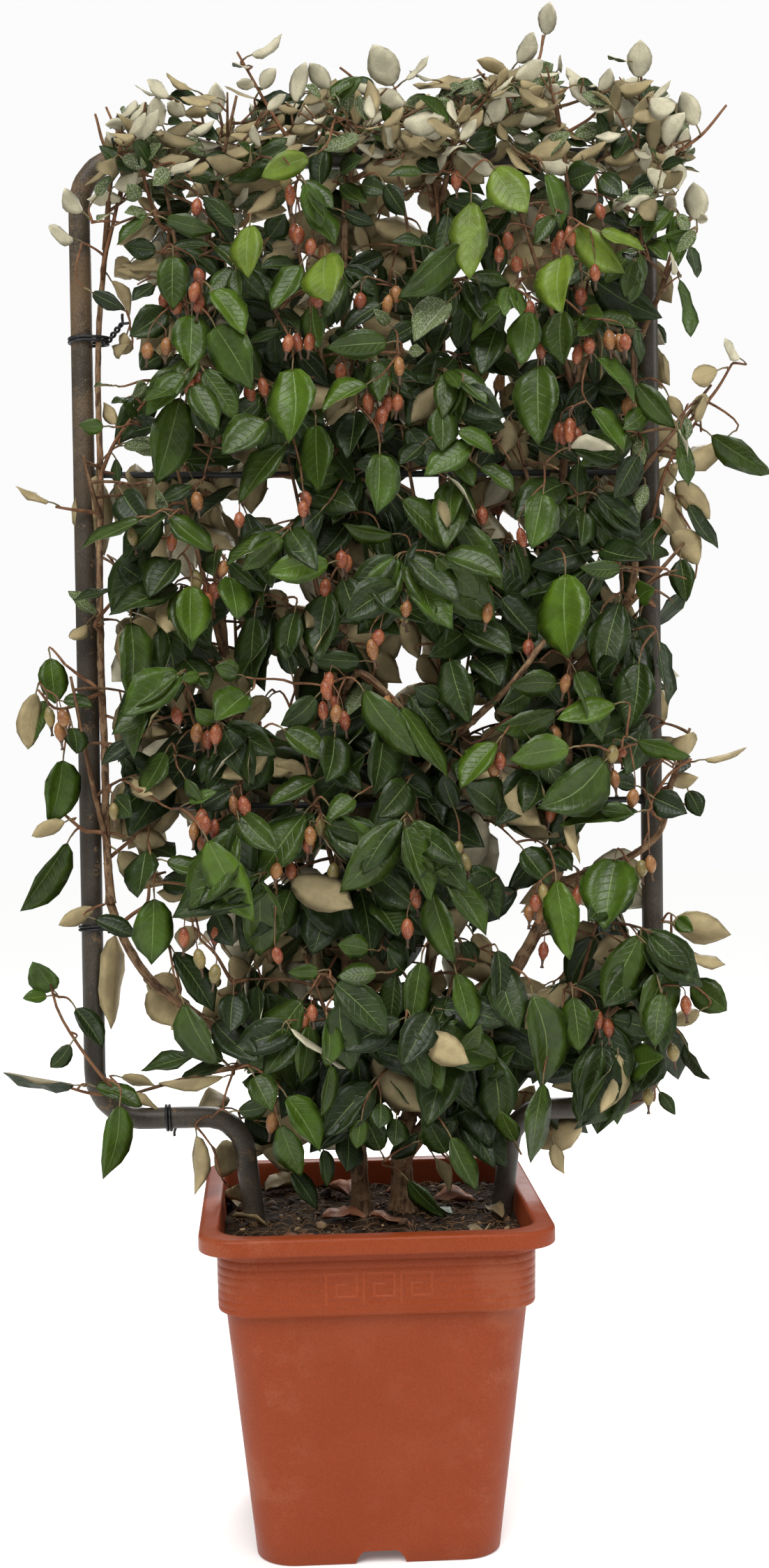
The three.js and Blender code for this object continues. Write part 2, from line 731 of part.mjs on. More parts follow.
// How open the view is round a piece, seen from the side it faces
function openness({ centre }, placed) {
  let least = Infinity;
  for (const { centre: other } of placed) {
    const apartInDepth = centre.y * other.y < 0 ? GROWTH.otherSide : 0;
    least = Math.min(least, Math.hypot(centre.x - other.x, centre.z - other.z) + apartInDepth);
  }
  return least;
}

// Of a few tries that pass, the one with the most open place, or nothing
function bestOf(attempt, passes, placed) {
  let best = null;
  let widest = -1;
  for (let count = 0; count < GROWTH.tries; count += 1) {
    const piece = attempt(count);
    const open = openness(piece, placed);
    if (open > widest && passes(piece)) {
      best = piece;
      widest = open;
    }
  }
  return best;
}

// Side twigs of a mass: they turn round the stem from its knee to its tip
function growTwigs({ path, rise, spread, twigs }, inSpace, jitter) {
  const line = new THREE.CatmullRomCurve3(path);
  const grown = [];
  for (let k = 0; k < twigs; k += 1) {
    const share = TWIG.first + (TWIG.span * (k + 0.5)) / twigs;
    const root = line.getPointAt(share);
    const tangent = line.getTangentAt(share);
    const twig = bestOf((count) => {
      const { out, lift, follow, turn: sway } = TWIG_HEADING;
      const turn = (k + count) * GOLDEN_ANGLE + jitter(sway);
      const upward = jitter(lift) + rise * TWIG_HEADING.rise;
      const length = spread * (1 + jitter(TWIG.lengthRange));
      const heading = vector(out * Math.cos(turn), Math.sin(turn), upward).addScaledVector(tangent, follow);
      return twigPiece(root, root.clone().addScaledVector(heading.normalize(), length));
    }, (piece) => inSpace(piece) && clearOfWood(piece, grown.map((other) => other.path), root), grown);
    if (twig) grown.push(twig);
  }
  return grown;
}

// A leaf's heading: on from its twig, out to a side, and hanging or rising
function leafHeading(heading, rise, jitter) {
  const { follow, followRange, fan, depth, fall, fallRange } = LEAF_HEADING;
  const upward = THREE.MathUtils.lerp(-fall, fall, rise);
  return heading.clone().multiplyScalar(follow + jitter(followRange))
    .add(vector(jitter(fan), jitter(depth), upward + jitter(fallRange)))
    .normalize();
}

// One mass: its stem, side twigs, leaves at their slots and its fruit, joined in one body
function growMass(mass, others, hard, canopy, random) {
  const { path, rise, small, fruit } = mass;
  const jitter = (amount) => (random() - 0.5) * 2 * amount;
  const inSpace = (piece) => fits(piece, mass, others, hard);
  const line = new THREE.CatmullRomCurve3(path);
  const stem = line.getSpacedPoints(STEM.steps);
  const twigs = growTwigs(mass, inSpace, jitter);
  const wood = [stem, ...twigs.map((twig) => twig.path)];
  const leaves = [];

  const addLeaf = (root, heading) => {
    const passes = (piece) => (
      inSpace(piece) && apart(piece, leaves, GROWTH.leafGap) && clearOfWood(piece, wood, root)
    );
    const leaf = bestOf(() => {
      const age = random() < small ? YOUNG : 1;
      const length = age * THREE.MathUtils.lerp(LEAF.shortest, LEAF.longest, random());
      const along = leafHeading(heading, rise, jitter);
      const { turn, lift, liftRange, backFrom } = LEAF_FACE;
      const front = root.y + along.y * length * LEAF.waist < backFrom ? -1 : 1;
      return leafPiece(root, along, vector(jitter(turn), front, lift + jitter(liftRange)), length);
    }, passes, canopy);
    if (!leaf) return;
    leaves.push(leaf);
    canopy.push(leaf);
  };

  twigs.forEach(({ path: [root, end] }) => {
    const heading = end.clone().sub(root).normalize();
    GROWTH.twigSlots.forEach((slot) => addLeaf(root.clone().lerp(end, slot), heading));
  });
  GROWTH.stemSlots.forEach((slot) => addLeaf(line.getPointAt(slot), line.getTangentAt(slot)));

  const fruits = twigs.slice(0, fruit).map(({ path: [root, end] }) => (
    fruitPiece(root.clone().lerp(end, FRUIT.at), vector(jitter(FRUIT.sway), FRUIT.forward, 0))
  )).filter((piece) => inSpace(piece) && apart(piece, leaves, FRUIT.room));

  const bodies = [...twigs, ...leaves, ...fruits].map((piece) => piece.body());
  bodies.push(solid(limb(stem, [STEM.radius, STEM.tipRadius], STEM.steps, 3)));
  const joined = wasm.Manifold.union(bodies).subtract(grownLimb(`bough_${mass.bough}`));
  return geometryOf(mainBody(joined));
}

// The scene graph

const material = (color, roughness, metalness = 0) => (
  new THREE.MeshStandardMaterial({ color, roughness, metalness })
);
const FINISH = {
  pot: material(COLOURS.pot, 0.5),
  soil: material(COLOURS.soil, 0.95),
  steel: material(COLOURS.steel, 0.55, 0.4),
  tie: material(COLOURS.tie, 0.6),
  bark: material(COLOURS.bark, 0.85),
  leaf: material(COLOURS.leaf, 0.45),
};

const plant = new THREE.Group();

function place(name, geometry, finish) {
  const mesh = new THREE.Mesh(geometry, finish);
  mesh.name = name;
  plant.add(mesh);
}

function buildPot() {
  place("pot", potGeometry(), FINISH.pot);
  place("soil", soilGeometry(), FINISH.soil);
}

function buildFrame() {
  for (const [name, side] of [["left", -1], ["right", 1]]) {
    place(`frame_${name}_foot`, tube(footStations(side)), FINISH.steel);
    place(`frame_${name}_upright`, tube(uprightStations(side)), FINISH.steel);
  }
  place("frame_top", tube(topStations()), FINISH.steel);
  ROD.heights.forEach((height, k) => {
    const rod = limb(rodEnds(height), [ROD.radius, ROD.radius], 1, ROD.sides);
    place(`frame_rod_${k + 1}`, rod, FINISH.steel);
  });
  for (const [name, tie] of Object.entries(TIES)) {
    place(name, tieGeometry(tie), FINISH.tie);
  }
}

function buildLimbs() {
  for (const [name, trunk] of Object.entries(TRUNKS)) {
    place(name, trunkGeometry(trunk), FINISH.bark);
  }
  const names = Object.keys(BOUGHS);
  names.forEach((name, order) => {
    let body = boughSolid(BOUGHS[name]);
    for (const earlier of [...Object.keys(TRUNKS), ...names.slice(0, order)]) {
      body = body.subtract(grownLimb(earlier));
    }
    place(name, geometryOf(mainBody(body)), FINISH.bark);
  });
}

function buildFoliage() {
  const masses = Object.entries(MASSES).map(([name, row]) => {
    const mass = { ...MASS_DEFAULTS, ...row, name };
    const path = stemPath(mass);
    const drop = GROWTH.hang * (mass.rise - GROWTH.level);
    const heart = path.map((point) => point.clone().addScaledVector(UP, drop));
    return { ...mass, path, heart };
  });
  const hard = obstacles();
  const canopy = [];
  masses.forEach((mass, order) => {
    const others = masses.filter((other) => other !== mass);
    const geometry = growMass(mass, others, hard, canopy, seededRandom(order + 1));
    place(`foliage_${mass.name}`, geometry, FINISH.leaf);
  });
}

buildPot();
buildFrame();
buildLimbs();
buildFoliage();

export default plant;
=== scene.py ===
"""Potted espaliered silverberry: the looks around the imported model.

Lengths in the tables and functions are millimetres in the model's own frame: X to the right,
Y away from the front, Z up, with the origin in the middle of the pot's underside. They become
metres when a surface is put into its mesh.
"""
import functools
import math

import bpy
import numpy as np
from bpy.props import FloatProperty, FloatVectorProperty, IntProperty, PointerProperty
from mathutils import Matrix


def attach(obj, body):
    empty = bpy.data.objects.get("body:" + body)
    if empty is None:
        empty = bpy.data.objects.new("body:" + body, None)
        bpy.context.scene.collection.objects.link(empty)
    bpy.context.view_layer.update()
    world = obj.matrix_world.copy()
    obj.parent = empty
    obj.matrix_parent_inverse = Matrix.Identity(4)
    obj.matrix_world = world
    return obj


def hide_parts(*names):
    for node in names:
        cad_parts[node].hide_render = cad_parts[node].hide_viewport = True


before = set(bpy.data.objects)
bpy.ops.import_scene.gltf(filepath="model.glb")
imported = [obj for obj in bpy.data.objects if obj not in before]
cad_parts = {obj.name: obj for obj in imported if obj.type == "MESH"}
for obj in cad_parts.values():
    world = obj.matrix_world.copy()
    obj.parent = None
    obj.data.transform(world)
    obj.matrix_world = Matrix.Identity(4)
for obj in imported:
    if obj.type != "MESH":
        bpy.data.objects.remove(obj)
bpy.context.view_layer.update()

bl_info = {
    "name": "Potted Espaliered Silverberry",
    "version": (1, 0, 0),
    "blender": (4, 5, 0),
    "location": "View3D > Sidebar > Silverberry",
    "description": "A silverberry trained flat on its bent tube frame in a square pot",
    "category": "Add Mesh",
}

MM = 0.001
TURN = 2 * math.pi

# Pot
POT_TOP = 335
POT_CORNER = 38
POT_INNER_CORNER = 32
POT_FLOOR = 16
SOIL_TOP = 312

# Espalier frame: corner points and radii of its one bent tube
FRAME_CENTRE = 8.4
FRAME_HALF = 289
FRAME_TOP = 1397
FRAME_RAIL = 419
FRAME_CORNER = 50
LEG_HALF = 128
LEG_LEAN = 0.12
LEG_FOOT = 180
LEG_CORNER = 40
ROD_HEIGHTS = (1077, 739)

# Stems from soil level: points, radii at both ends and the spread of the root flare
TRUNKS = {
    "trunk_left": ([(-8, 8, 300), (-10, 6, 345), (-12, 3, 385), (-16, 0, 432)], (9.5, 7.2), 5),
    "trunk_right": ([(35, 8, 300), (33, 6, 345), (34, 3, 378), (39, 2, 412)], (12.5, 9.5), 7),
}

# Boughs: the points each one passes from its root on an earlier limb, and its two end radii
BOUGHS = {
    "left_low": (
        [(-11, 4, 372), (-60, -3, 420), (-113, -7, 466), (-153, -8, 508), (-198, -9, 542),
         (-226, -10, 568), (-249, -12, 610), (-261, -13, 642)],
        (5.6, 4.3),
    ),
    "left_high": (
        [(-261, -13, 642), (-263, -13, 700), (-265, -12, 860), (-264, -9, 1060),
         (-263, -6, 1212), (-252, -9, 1332)],
        (4.2, 2.6),
    ),
    "inner_left": (
        [(-14, 2, 408), (-48, 8, 478), (-84, 11, 545), (-101, 11, 589), (-114, 11, 630),
         (-128, 11, 740), (-138, 11, 850), (-154, 11, 1063), (-158, 11, 1292)],
        (6.2, 3),
    ),
    "centre_left": (
        [(-16, 0, 430), (-20, -7, 526), (-22, -11, 663), (-22, -11, 849), (-17, -11, 1133),
         (-11, -11, 1375)],
        (6.4, 3),
    ),
    "centre_right": (
        [(40, 2, 410), (53, 8, 488), (82, 12, 711), (85, 12, 830), (85, 12, 1076),
         (85, 3, 1210), (83, -12, 1310), (74, -18, 1404)],
        (6.6, 3.2),
    ),
    "right_low": (
        [(37, 3, 380), (73, -4, 424), (113, -8, 491), (150, -11, 560), (179, -12, 615),
         (198, -12, 668)],
        (7.6, 6.2),
    ),
    "right_high": (
        [(198, -12, 668), (206, -12, 730), (210, -12, 875), (204, -12, 1004), (206, -12, 1070),
         (224, -12, 1193), (217, -11, 1338)],
        (6.1, 2.8),
    ),
    "right_cross": (
        [(192, -12, 650), (224, -17, 664), (258, -23, 675), (298, -27, 704), (312, -24, 752)],
        (4.4, 3),
    ),
    "right_outer": (
        [(210, -12, 866), (244, -20, 902), (272, -25, 952), (277, -25, 1061),
         (279, -25, 1204), (284, -21, 1300)],
        (4.6, 2.7),
    ),
    "right_side": (
        [(96, -6, 462), (149, -16, 463), (176, -18, 470), (219, -20, 499), (270, -21, 534)],
        (4.4, 2.7),
    ),
}

# Foliage masses: bough, height on it, tip of the mass's stem, and how its leaves grow
# (rise from hanging 0 to upright 1, share of young leaves)
MASSES = {
    "left_top": ("left_high", 1300, (-238, -32, 1420), 0.5, 0.3),
    "left_upper": ("left_high", 1030, (-278, -34, 1092), 0, 0.8),
    "left_lower": ("left_high", 700, (-294, -38, 872), 0, 0.2),
    "left_foot": ("left_low", 470, (-258, 20, 437), 0, 0.3),
    "inner_left_top": ("inner_left", 1285, (-120, -34, 1448), 0.7, 0.3),
    "inner_left_front_high": ("inner_left", 1130, (-194, -36, 1370), 0, 0),
    "inner_left_front": ("inner_left", 880, (-194, -36, 1120), 0, 0),
    "inner_left_front_low": ("inner_left", 640, (-186, -36, 870), 0, 0),
    "inner_left_back_high": ("inner_left", 1010, (-130, 34, 1290), 0, 0),
    "inner_left_back_low": ("inner_left", 700, (-132, 34, 960), 0, 0),
    "centre_left_top": ("centre_left", 1330, (4, -36, 1448), 0.7, 0.3),
    "centre_left_front_high": ("centre_left", 1080, (-74, -36, 1360), 0, 0),
    "centre_left_front": ("centre_left", 830, (-74, -36, 1090), 0, 0),
    "centre_left_front_low": ("centre_left", 620, (-72, -36, 830), 0, 0),
    "centre_left_root": ("centre_left", 450, (-66, -36, 590), 0, 0),
    "centre_left_back_high": ("centre_left", 960, (-2, 34, 1260), 0, 0),
    "centre_left_back_low": ("centre_left", 560, (-4, 34, 850), 0, 0),
    "centre_right_top": ("centre_right", 1330, (108, -40, 1446), 0.6, 0.3),
    "centre_right_front_high": ("centre_right", 1100, (40, -36, 1370), 0, 0),
    "centre_right_front": ("centre_right", 840, (40, -36, 1120), 0, 0),
    "centre_right_front_low": ("centre_right", 590, (36, -36, 850), 0, 0),
    "centre_right_root": ("centre_right", 450, (96, -36, 590), 0, 0),
    "centre_right_back_high": ("centre_right", 960, (110, 34, 1240), 0, 0),
    "centre_right_back_low": ("centre_right", 640, (114, 34, 900), 0, 0),
    "right_top": ("right_high", 1310, (198, -34, 1462), 0.7, 0.3),
    "right_front_high": ("right_high", 1150, (150, -36, 1370), 0, 0),
    "right_front": ("right_high", 910, (150, -36, 1130), 0, 0),
    "right_front_low": ("right_high", 700, (146, -36, 890), 0, 0),
    "right_back_high": ("right_high", 1010, (242, 34, 1280), 0, 0),
    "right_back_low": ("right_high", 760, (246, 34, 980), 0, 0),
    "right_foot": ("right_side", 478, (240, -36, 640), 0, 0),
    "outer_right_top": ("right_outer", 1280, (304, -34, 1432), 0.6, 0.3),
    "outer_right_high": ("right_outer", 1190, (330, -36, 1312), 0, 0.2),
    "outer_right_upper": ("right_outer", 1062, (356, -34, 1160), 0, 0.2),
    "outer_right_middle": ("right_outer", 930, (326, -38, 1000), 0, 0),
    "right_cross_tip": ("right_cross", 750, (332, -30, 812), 0, 0.3),
    "right_side_tip": ("right_side", 532, (328, -34, 590), 0, 0.1),
}

# Leaves that show in front, on the frame's plane: x and z of the petiole's end, the reach from
# there to the tip in x and z, and the width across
SHOW_LEAVES = {
    "bright": [
        (-48, 1398, -48, -20, 24), (141, 1387, 32, -43, 39), (117, 1353, -4, -77, 37),
        (224, 1330, 50, -50, 24), (249, 1323, 49, -16, 24), (209, 1297, -2, -54, 43),
        (-109, 1329, -5, -51, 34), (-33, 1299, 1, -45, 44), (-148, 1263, 34, -43, 32),
        (-68, 1184, -7, -75, 50), (8, 1168, -48, -25, 33), (-33, 986, -63, -12, 24),
        (210, 973, -1, -85, 58), (261, 838, -61, -12, 26), (213, 793, -63, -11, 36),
        (137, 800, -40, -45, 33), (-174, 964, 1, -58, 37), (-162, 704, 47, -86, 36),
        (197, 657, 9, -84, 32),
    ],
    "green": [
        (-212, 1338, -34, -26, 16), (-194, 1335, 48, -16, 13), (-92, 1398, -36, -24, 30),
        (68, 1381, -35, 4, 17), (39, 1407, -37, 21, 13), (195, 1382, 21, -53, 30),
        (209, 1242, 0, -54, 34), (174, 1242, -8, -54, 32), (105, 1309, -55, -56, 25),
        (-54, 1349, 35, -34, 33), (-58, 1289, -31, -46, 30), (-187, 1298, 2, -51, 32),
        (-169, 1239, -1, -52, 38), (-146, 1227, 33, -63, 42), (-47, 1250, 7, -46, 30),
        (-167, 1195, -15, -27, 24), (30, 1210, -62, -6, 26), (184, 1187, -1, -81, 44),
        (245, 1194, 43, -44, 36), (286, 1167, 38, -45, 24), (331, 1275, 18, -58, 17),
        (175, 1441, 20, -27, 18), (322, 1387, 32, 4, 10), (-251, 1167, -18, 2, 10),
        (-260, 1126, -25, 2, 15), (-182, 1155, -25, -88, 44), (-95, 1132, -47, -33, 36),
        (-76, 1108, -54, -52, 34), (-45, 1127, -1, -68, 42), (20, 1097, -2, -61, 36),
        (84, 1144, 3, -42, 30), (100, 1119, 40, -19, 24), (94, 1095, 24, -31, 24),
        (123, 1083, 37, -25, 22), (188, 1056, -8, -55, 39), (240, 1142, 36, -43, 34),
        (-224, 1031, -66, -22, 24), (-195, 1035, 47, -32, 34), (33, 1015, -51, 3, 13),
        (42, 1051, 54, -48, 31), (99, 1029, 41, -73, 33), (268, 978, -42, 1, 18),
        (201, 860, -49, -2, 28), (219, 873, 40, -69, 28), (200, 831, -61, -23, 24),
        (250, 780, -66, -51, 48), (-135, 973, 11, -39, 36), (-236, 928, -2, -80, 39),
        (-225, 847, -17, -56, 36), (-318, 892, 7, -43, 30), (-324, 849, -18, -41, 24),
        (-306, 848, 30, -2, 16), (0, 855, 48, -73, 30), (39, 838, 55, -72, 30),
        (-81, 815, 41, -27, 30), (-46, 765, -56, -16, 20), (-203, 795, -29, -43, 32),
        (-307, 788, -8, -66, 38), (363, 1114, 59, -44, 21), (282, 800, 55, -23, 13),
        (286, 947, 12, 8, 24), (243, 729, 36, -8, 20), (-167, 873, -19, -3, 12),
        (-128, 873, -23, 8, 20), (-120, 853, -32, -23, 36), (-152, 826, -19, 12, 20),
        (-184, 768, 19, -28, 12), (-11, 745, -28, -19, 24), (-304, 704, -45, -72, 24),
        (-204, 683, 50, -11, 22), (-62, 730, -58, -67, 44), (-36, 736, 57, -78, 30),
        (-217, 645, 3, -67, 39), (-189, 537, 28, -68, 38), (-67, 538, -66, -73, 44),
        (-50, 567, -31, -3, 18), (-60, 512, -6, -63, 28), (-42, 514, 4, -47, 24),
        (56, 575, -10, -68, 28), (67, 647, 23, -76, 35), (83, 660, 44, -57, 33),
        (45, 515, 30, -77, 40), (92, 562, 16, -61, 28), (259, 677, -12, -69, 55),
        (171, 538, 19, -103, 44), (181, 446, -8, -85, 34), (213, 535, 4, -59, 36),
        (253, 492, 4, -95, 40), (311, 561, -20, -61, 42), (338, 549, 35, -33, 34),
        (84, 392, 31, -56, 28), (-85, 438, 37, -57, 36), (-92, 409, 18, -57, 35),
        (-118, 460, 20, -34, 29), (-321, 553, -21, 29, 28), (-328, 547, -23, 0, 14),
        (-281, 453, 49, -15, 18), (-256, 433, -10, -78, 33), (284, 726, -85, -10, 22),
        (91, 690, -24, -24, 32), (2, 588, -31, 5, 24), (10, 564, -40, 1, 24),
        (-181, 742, 28, 15, 12), (323, 614, 16, -13, 16), (273, 462, 32, 8, 36),
        (217, 512, 24, 7, 16), (-8, 413, -5, -32, 20), (-39, 470, -5, -56, 17),
        (96, 482, 21, 24, 24), (151, 385, -15, 32, 24), (-32, 1411, -13, -45, 23),
    ],
    "dark": [
        (-204, 1303, -33, 5, 20), (-189, 1305, 40, 10, 16), (-37, 1369, 4, 42, 20),
        (-16, 1381, 20, 19, 24), (239, 1277, 72, -44, 30), (124, 1270, 27, -49, 32),
        (-124, 1327, -33, 31, 20), (-195, 1243, -36, -25, 30), (-75, 1223, -40, -9, 20),
        (-202, 1197, -19, -14, 24), (90, 1229, -12, -24, 29), (24, 1250, -44, -25, 24),
        (-25, 1219, 14, -15, 20), (142, 1226, -19, -44, 36), (46, 1171, 52, 0, 18),
        (105, 1160, 40, -25, 36), (344, 1308, 7, -32, 20), (-10, 1440, -23, -20, 17),
        (12, 1444, -29, -4, 12), (143, 1421, -27, -8, 24), (282, 1426, -16, -28, 24),
        (306, 1430, -20, 0, 16), (218, 1375, 26, 11, 28), (250, 1379, 20, -16, 24),
        (238, 1410, -27, 3, 13), (306, 1375, -24, -12, 18), (29, 1370, 19, -31, 22),
        (5, 1370, 24, -8, 20), (67, 1308, -31, 8, 16), (-269, 1261, 30, -17, 16),
        (-207, 1269, -23, -11, 20), (-144, 1308, 31, -23, 28), (-90, 1316, 16, 23, 24),
        (-236, 1155, -15, -2, 12), (-227, 1134, -9, 15, 16), (-5, 1139, -10, -44, 37),
        (104, 1138, 45, -15, 28), (65, 1107, -25, -21, 24), (225, 1087, 2, -49, 24),
        (287, 1094, -24, -45, 32), (231, 1036, -1, -34, 26), (255, 1055, 36, -29, 32),
        (-242, 1058, 20, -29, 32), (-204, 1035, -37, -51, 25), (-171, 1067, -37, -18, 20),
        (-40, 1040, -44, -49, 33), (68, 1012, -12, -61, 39), (20, 1017, 17, -48, 28),
        (266, 944, -21, -82, 41), (286, 881, -14, -70, 41), (143, 949, 43, -37, 36),
        (101, 918, 55, -26, 36), (89, 887, 18, -68, 36), (-20, 971, 17, -46, 33),
        (-35, 957, -11, -72, 39), (67, 949, 11, -48, 36), (-69, 937, -12, -50, 34),
        (-110, 933, -10, -71, 37), (-138, 991, 37, -37, 18), (-201, 925, 14, -76, 39),
        (-297, 821, 5, -21, 24), (-254, 960, -41, -1, 11), (22, 821, -12, -76, 43),
        (-30, 809, -5, -44, 39), (-38, 783, 37, -30, 25), (-101, 799, -21, -47, 33),
        (-132, 786, -30, -33, 30), (-49, 849, -35, -29, 28), (-2, 885, -54, 1, 21),
        (339, 1043, 34, -43, 21), (319, 1033, -41, -43, 28), (330, 987, 4, -43, 25),
        (306, 903, 12, -68, 20), (336, 747, 12, -27, 20), (-188, 991, -32, -35, 36),
        (-247, 988, 46, -32, 36), (-117, 1037, 22, -47, 28), (-149, 998, -6, -19, 24),
        (-73, 872, -7, 32, 24), (-49, 911, 32, 0, 20), (7, 926, 31, -8, 24),
        (77, 843, -20, 12, 24), (117, 886, 24, -20, 36), (102, 945, 40, -4, 32),
        (158, 1004, 16, -40, 24), (302, 1003, 0, -16, 24), (245, 924, -8, -40, 24),
        (245, 868, 16, 16, 24), (173, 853, -32, -19, 32), (300, 740, 32, -16, 28),
        (280, 753, -24, 8, 20), (-182, 889, 23, -31, 32), (-226, 815, -28, -27, 20),
        (-238, 804, -32, -18, 17), (-191, 803, -24, -31, 24), (-152, 799, -17, -36, 24),
        (92, 732, -12, 36, 24), (112, 783, -16, -16, 24), (180, 766, -17, -39, 36),
        (139, 731, -27, 28, 36), (-255, 749, 15, -20, 24), (44, 760, -24, -35, 36),
        (-137, 755, -32, -19, 24), (-278, 625, 42, -13, 17), (-225, 695, -11, -47, 39),
        (36, 753, -28, -57, 33), (-198, 590, 42, -62, 30), (-29, 550, 51, -86, 36),
        (-138, 545, -3, -40, 30), (29, 561, -10, -54, 29), (108, 673, 35, -53, 36),
        (127, 479, 1, -85, 44), (229, 463, -5, -65, 28), (298, 478, -21, -40, 36),
        (330, 484, 22, -42, 8), (303, 434, 16, -26, 13), (75, 445, -13, -63, 41),
        (-22, 398, -1, -40, 32), (-11, 478, 5, -51, 26), (-81, 360, 30, -39, 20),
        (-299, 534, 27, -41, 24), (-305, 497, -20, -24, 17), (-301, 455, -74, 11, 13),
        (-176, 484, -59, -8, 16), (163, 689, 31, -33, 32), (191, 688, 24, -20, 24),
        (211, 672, -20, 8, 20), (130, 657, -28, -15, 32), (11, 636, 23, -33, 39),
        (2, 540, -24, -15, 24), (-76, 653, -13, -47, 36), (-37, 644, -24, -55, 43),
        (-100, 646, -24, -47, 32), (-155, 631, 15, -36, 28), (-154, 714, 47, -1, 32),
        (22, 596, 20, -25, 24), (38, 564, -12, 24, 24), (98, 594, 15, -24, 20),
        (217, 548, 41, 15, 12), (257, 535, 25, 7, 32), (241, 535, -24, 17, 12),
        (289, 498, -16, 21, 24), (298, 582, 24, -12, 16), (52, 428, -28, 24, 24),
        (12, 429, 0, -24, 24), (28, 412, -1, -28, 24), (-51, 474, -24, -19, 20),
        (-103, 447, -23, 9, 24), (-150, 476, -23, 21, 16), (-146, 472, -47, -7, 12),
        (-135, 424, 32, 3, 20), (-48, 382, 7, -40, 20), (112, 458, 40, 27, 36),
        (51, 388, 40, 15, 28), (39, 348, 39, -41, 20), (-13, 1342, 30, -12, 15),
        (11, 379, -18, 38, 28), (79, 375, -21, 33, 27), (21, 373, 30, 24, 21),
    ],
    "silver": [
        (195, 1522, 9, 34, 24), (166, 1494, 21, 29, 24), (291, 1479, 3, 39, 24),
        (280, 1496, -21, 4, 6), (250, 1466, 13, 23, 18), (303, 1456, 22, 21, 12),
        (351, 1431, -15, 35, 21), (336, 1404, 2, 26, 18), (320, 1409, 18, 36, 22),
        (241, 1451, -26, 25, 20), (208, 1487, 8, 14, 18), (207, 1456, -10, 18, 16),
        (182, 1483, 29, -1, 13), (52, 1476, 27, 21, 10), (79, 1476, -25, 5, 8),
        (39, 1470, -20, 42, 30), (51, 1450, -35, 14, 20), (-26, 1466, -20, 27, 18),
        (-61, 1452, 13, 41, 19), (-29, 1451, -37, -18, 13), (-137, 1441, -5, 32, 23),
        (-188, 1458, -25, 14, 20), (-195, 1428, -10, 30, 22), (-199, 1458, -26, 6, 9),
        (-229, 1433, 18, 18, 12), (-172, 1439, -20, 14, 16), (-105, 1500, 33, 20, 16),
        (-95, 1466, 15, 21, 14), (-102, 1468, -19, 5, 7), (-110, 1489, -14, 1, 9),
        (-231, 1425, -23, 6, 9), (-277, 1342, -21, 22, 20), (-287, 1315, -26, 11, 24),
        (-238, 1354, -36, 2, 10), (350, 1335, -2, 39, 24), (345, 1337, 20, 0, 8),
        (330, 1283, -10, 21, 24), (313, 1345, 17, 18, 24), (394, 1193, -21, 18, 21),
        (371, 1181, -32, -9, 21), (352, 1133, -2, 26, 22), (132, 1429, 24, 29, 24),
        (291, 1453, -32, -16, 28), (-316, 1050, -35, 15, 13), (-281, 926, -17, -17, 16),
        (352, 1128, -2, 27, 22), (382, 1114, -61, -40, 25), (336, 783, -3, 26, 26),
        (353, 779, 46, 9, 8), (316, 755, 31, 8, 16), (-306, 725, -35, -13, 16),
        (-278, 636, -38, -15, 17), (279, 586, -50, -7, 32), (155, 548, -24, -89, 24),
        (317, 609, 64, -9, 32), (327, 578, 46, -16, 15),
    ],
    "shaded": [
        (156, 1483, -31, 14, 9), (122, 1479, -61, -19, 22), (-87, 1451, -47, 14, 9),
        (-163, 1464, -29, 14, 12), (-150, 1443, -23, -1, 7), (3, 1378, 101, 34, 30),
        (319, 1155, 13, -24, 13), (-142, 1420, 19, 16, 16), (-111, 1420, -32, -6, 14),
        (-72, 1440, -20, -18, 20), (159, 1410, -32, -14, 28), (72, 1370, 19, -31, 32),
        (20, 1339, -16, -23, 24), (71, 1314, -70, 10, 36), (51, 1285, -47, 4, 28),
        (-230, 1292, -16, -15, 24), (-203, 1296, -39, -19, 28), (-250, 1273, 23, -35, 13),
        (-235, 1207, -12, -4, 20), (-235, 1219, -8, -21, 20), (-248, 1128, -10, 21, 14),
        (169, 1265, -15, 20, 28), (193, 1265, -23, 31, 32), (273, 1245, -24, 16, 20),
        (-333, 857, -16, -54, 17), (327, 1067, 32, -38, 24), (323, 1015, 24, -31, 28),
        (-268, 1077, 2, -81, 43), (-238, 1073, 27, -12, 36), (-197, 956, -24, -43, 36),
        (-228, 933, 15, -24, 32), (-171, 1073, 22, -39, 36), (-148, 1045, 5, -31, 13),
        (-95, 959, 15, -28, 24), (42, 926, 12, -40, 24), (14, 891, 20, -28, 28),
        (58, 890, 15, -27, 26), (107, 1036, 36, -16, 20), (172, 1118, -13, -47, 32),
        (199, 1070, -12, 28, 24), (262, 1019, -16, -16, 24), (246, 956, 16, -16, 24),
        (213, 885, -32, 0, 24), (141, 838, 11, -20, 20), (280, 784, -36, 29, 24),
        (-151, 889, 24, 3, 24), (-97, 849, -24, -19, 24), (-101, 849, -36, -43, 32),
        (-222, 819, 19, -8, 24), (-187, 815, -16, -24, 24), (-98, 770, 28, 16, 24),
        (-58, 770, -32, 12, 20), (56, 776, -7, 16, 24), (120, 803, 28, 11, 12),
        (-257, 609, -11, -97, 27), (-140, 585, 39, -50, 29), (-254, 462, 35, -7, 14),
        (-246, 446, 30, -18, 12), (-149, 460, -66, -12, 13), (-164, 426, 0, 23, 34),
        (-178, 400, 6, -57, 21), (191, 382, 7, -31, 18), (171, 736, 16, -40, 36),
        (-186, 647, -28, 5, 16), (-159, 627, -39, 1, 17), (-179, 616, -8, -24, 24),
        (-203, 569, -16, -28, 32), (-192, 545, -4, -32, 36), (-223, 553, 27, -40, 32),
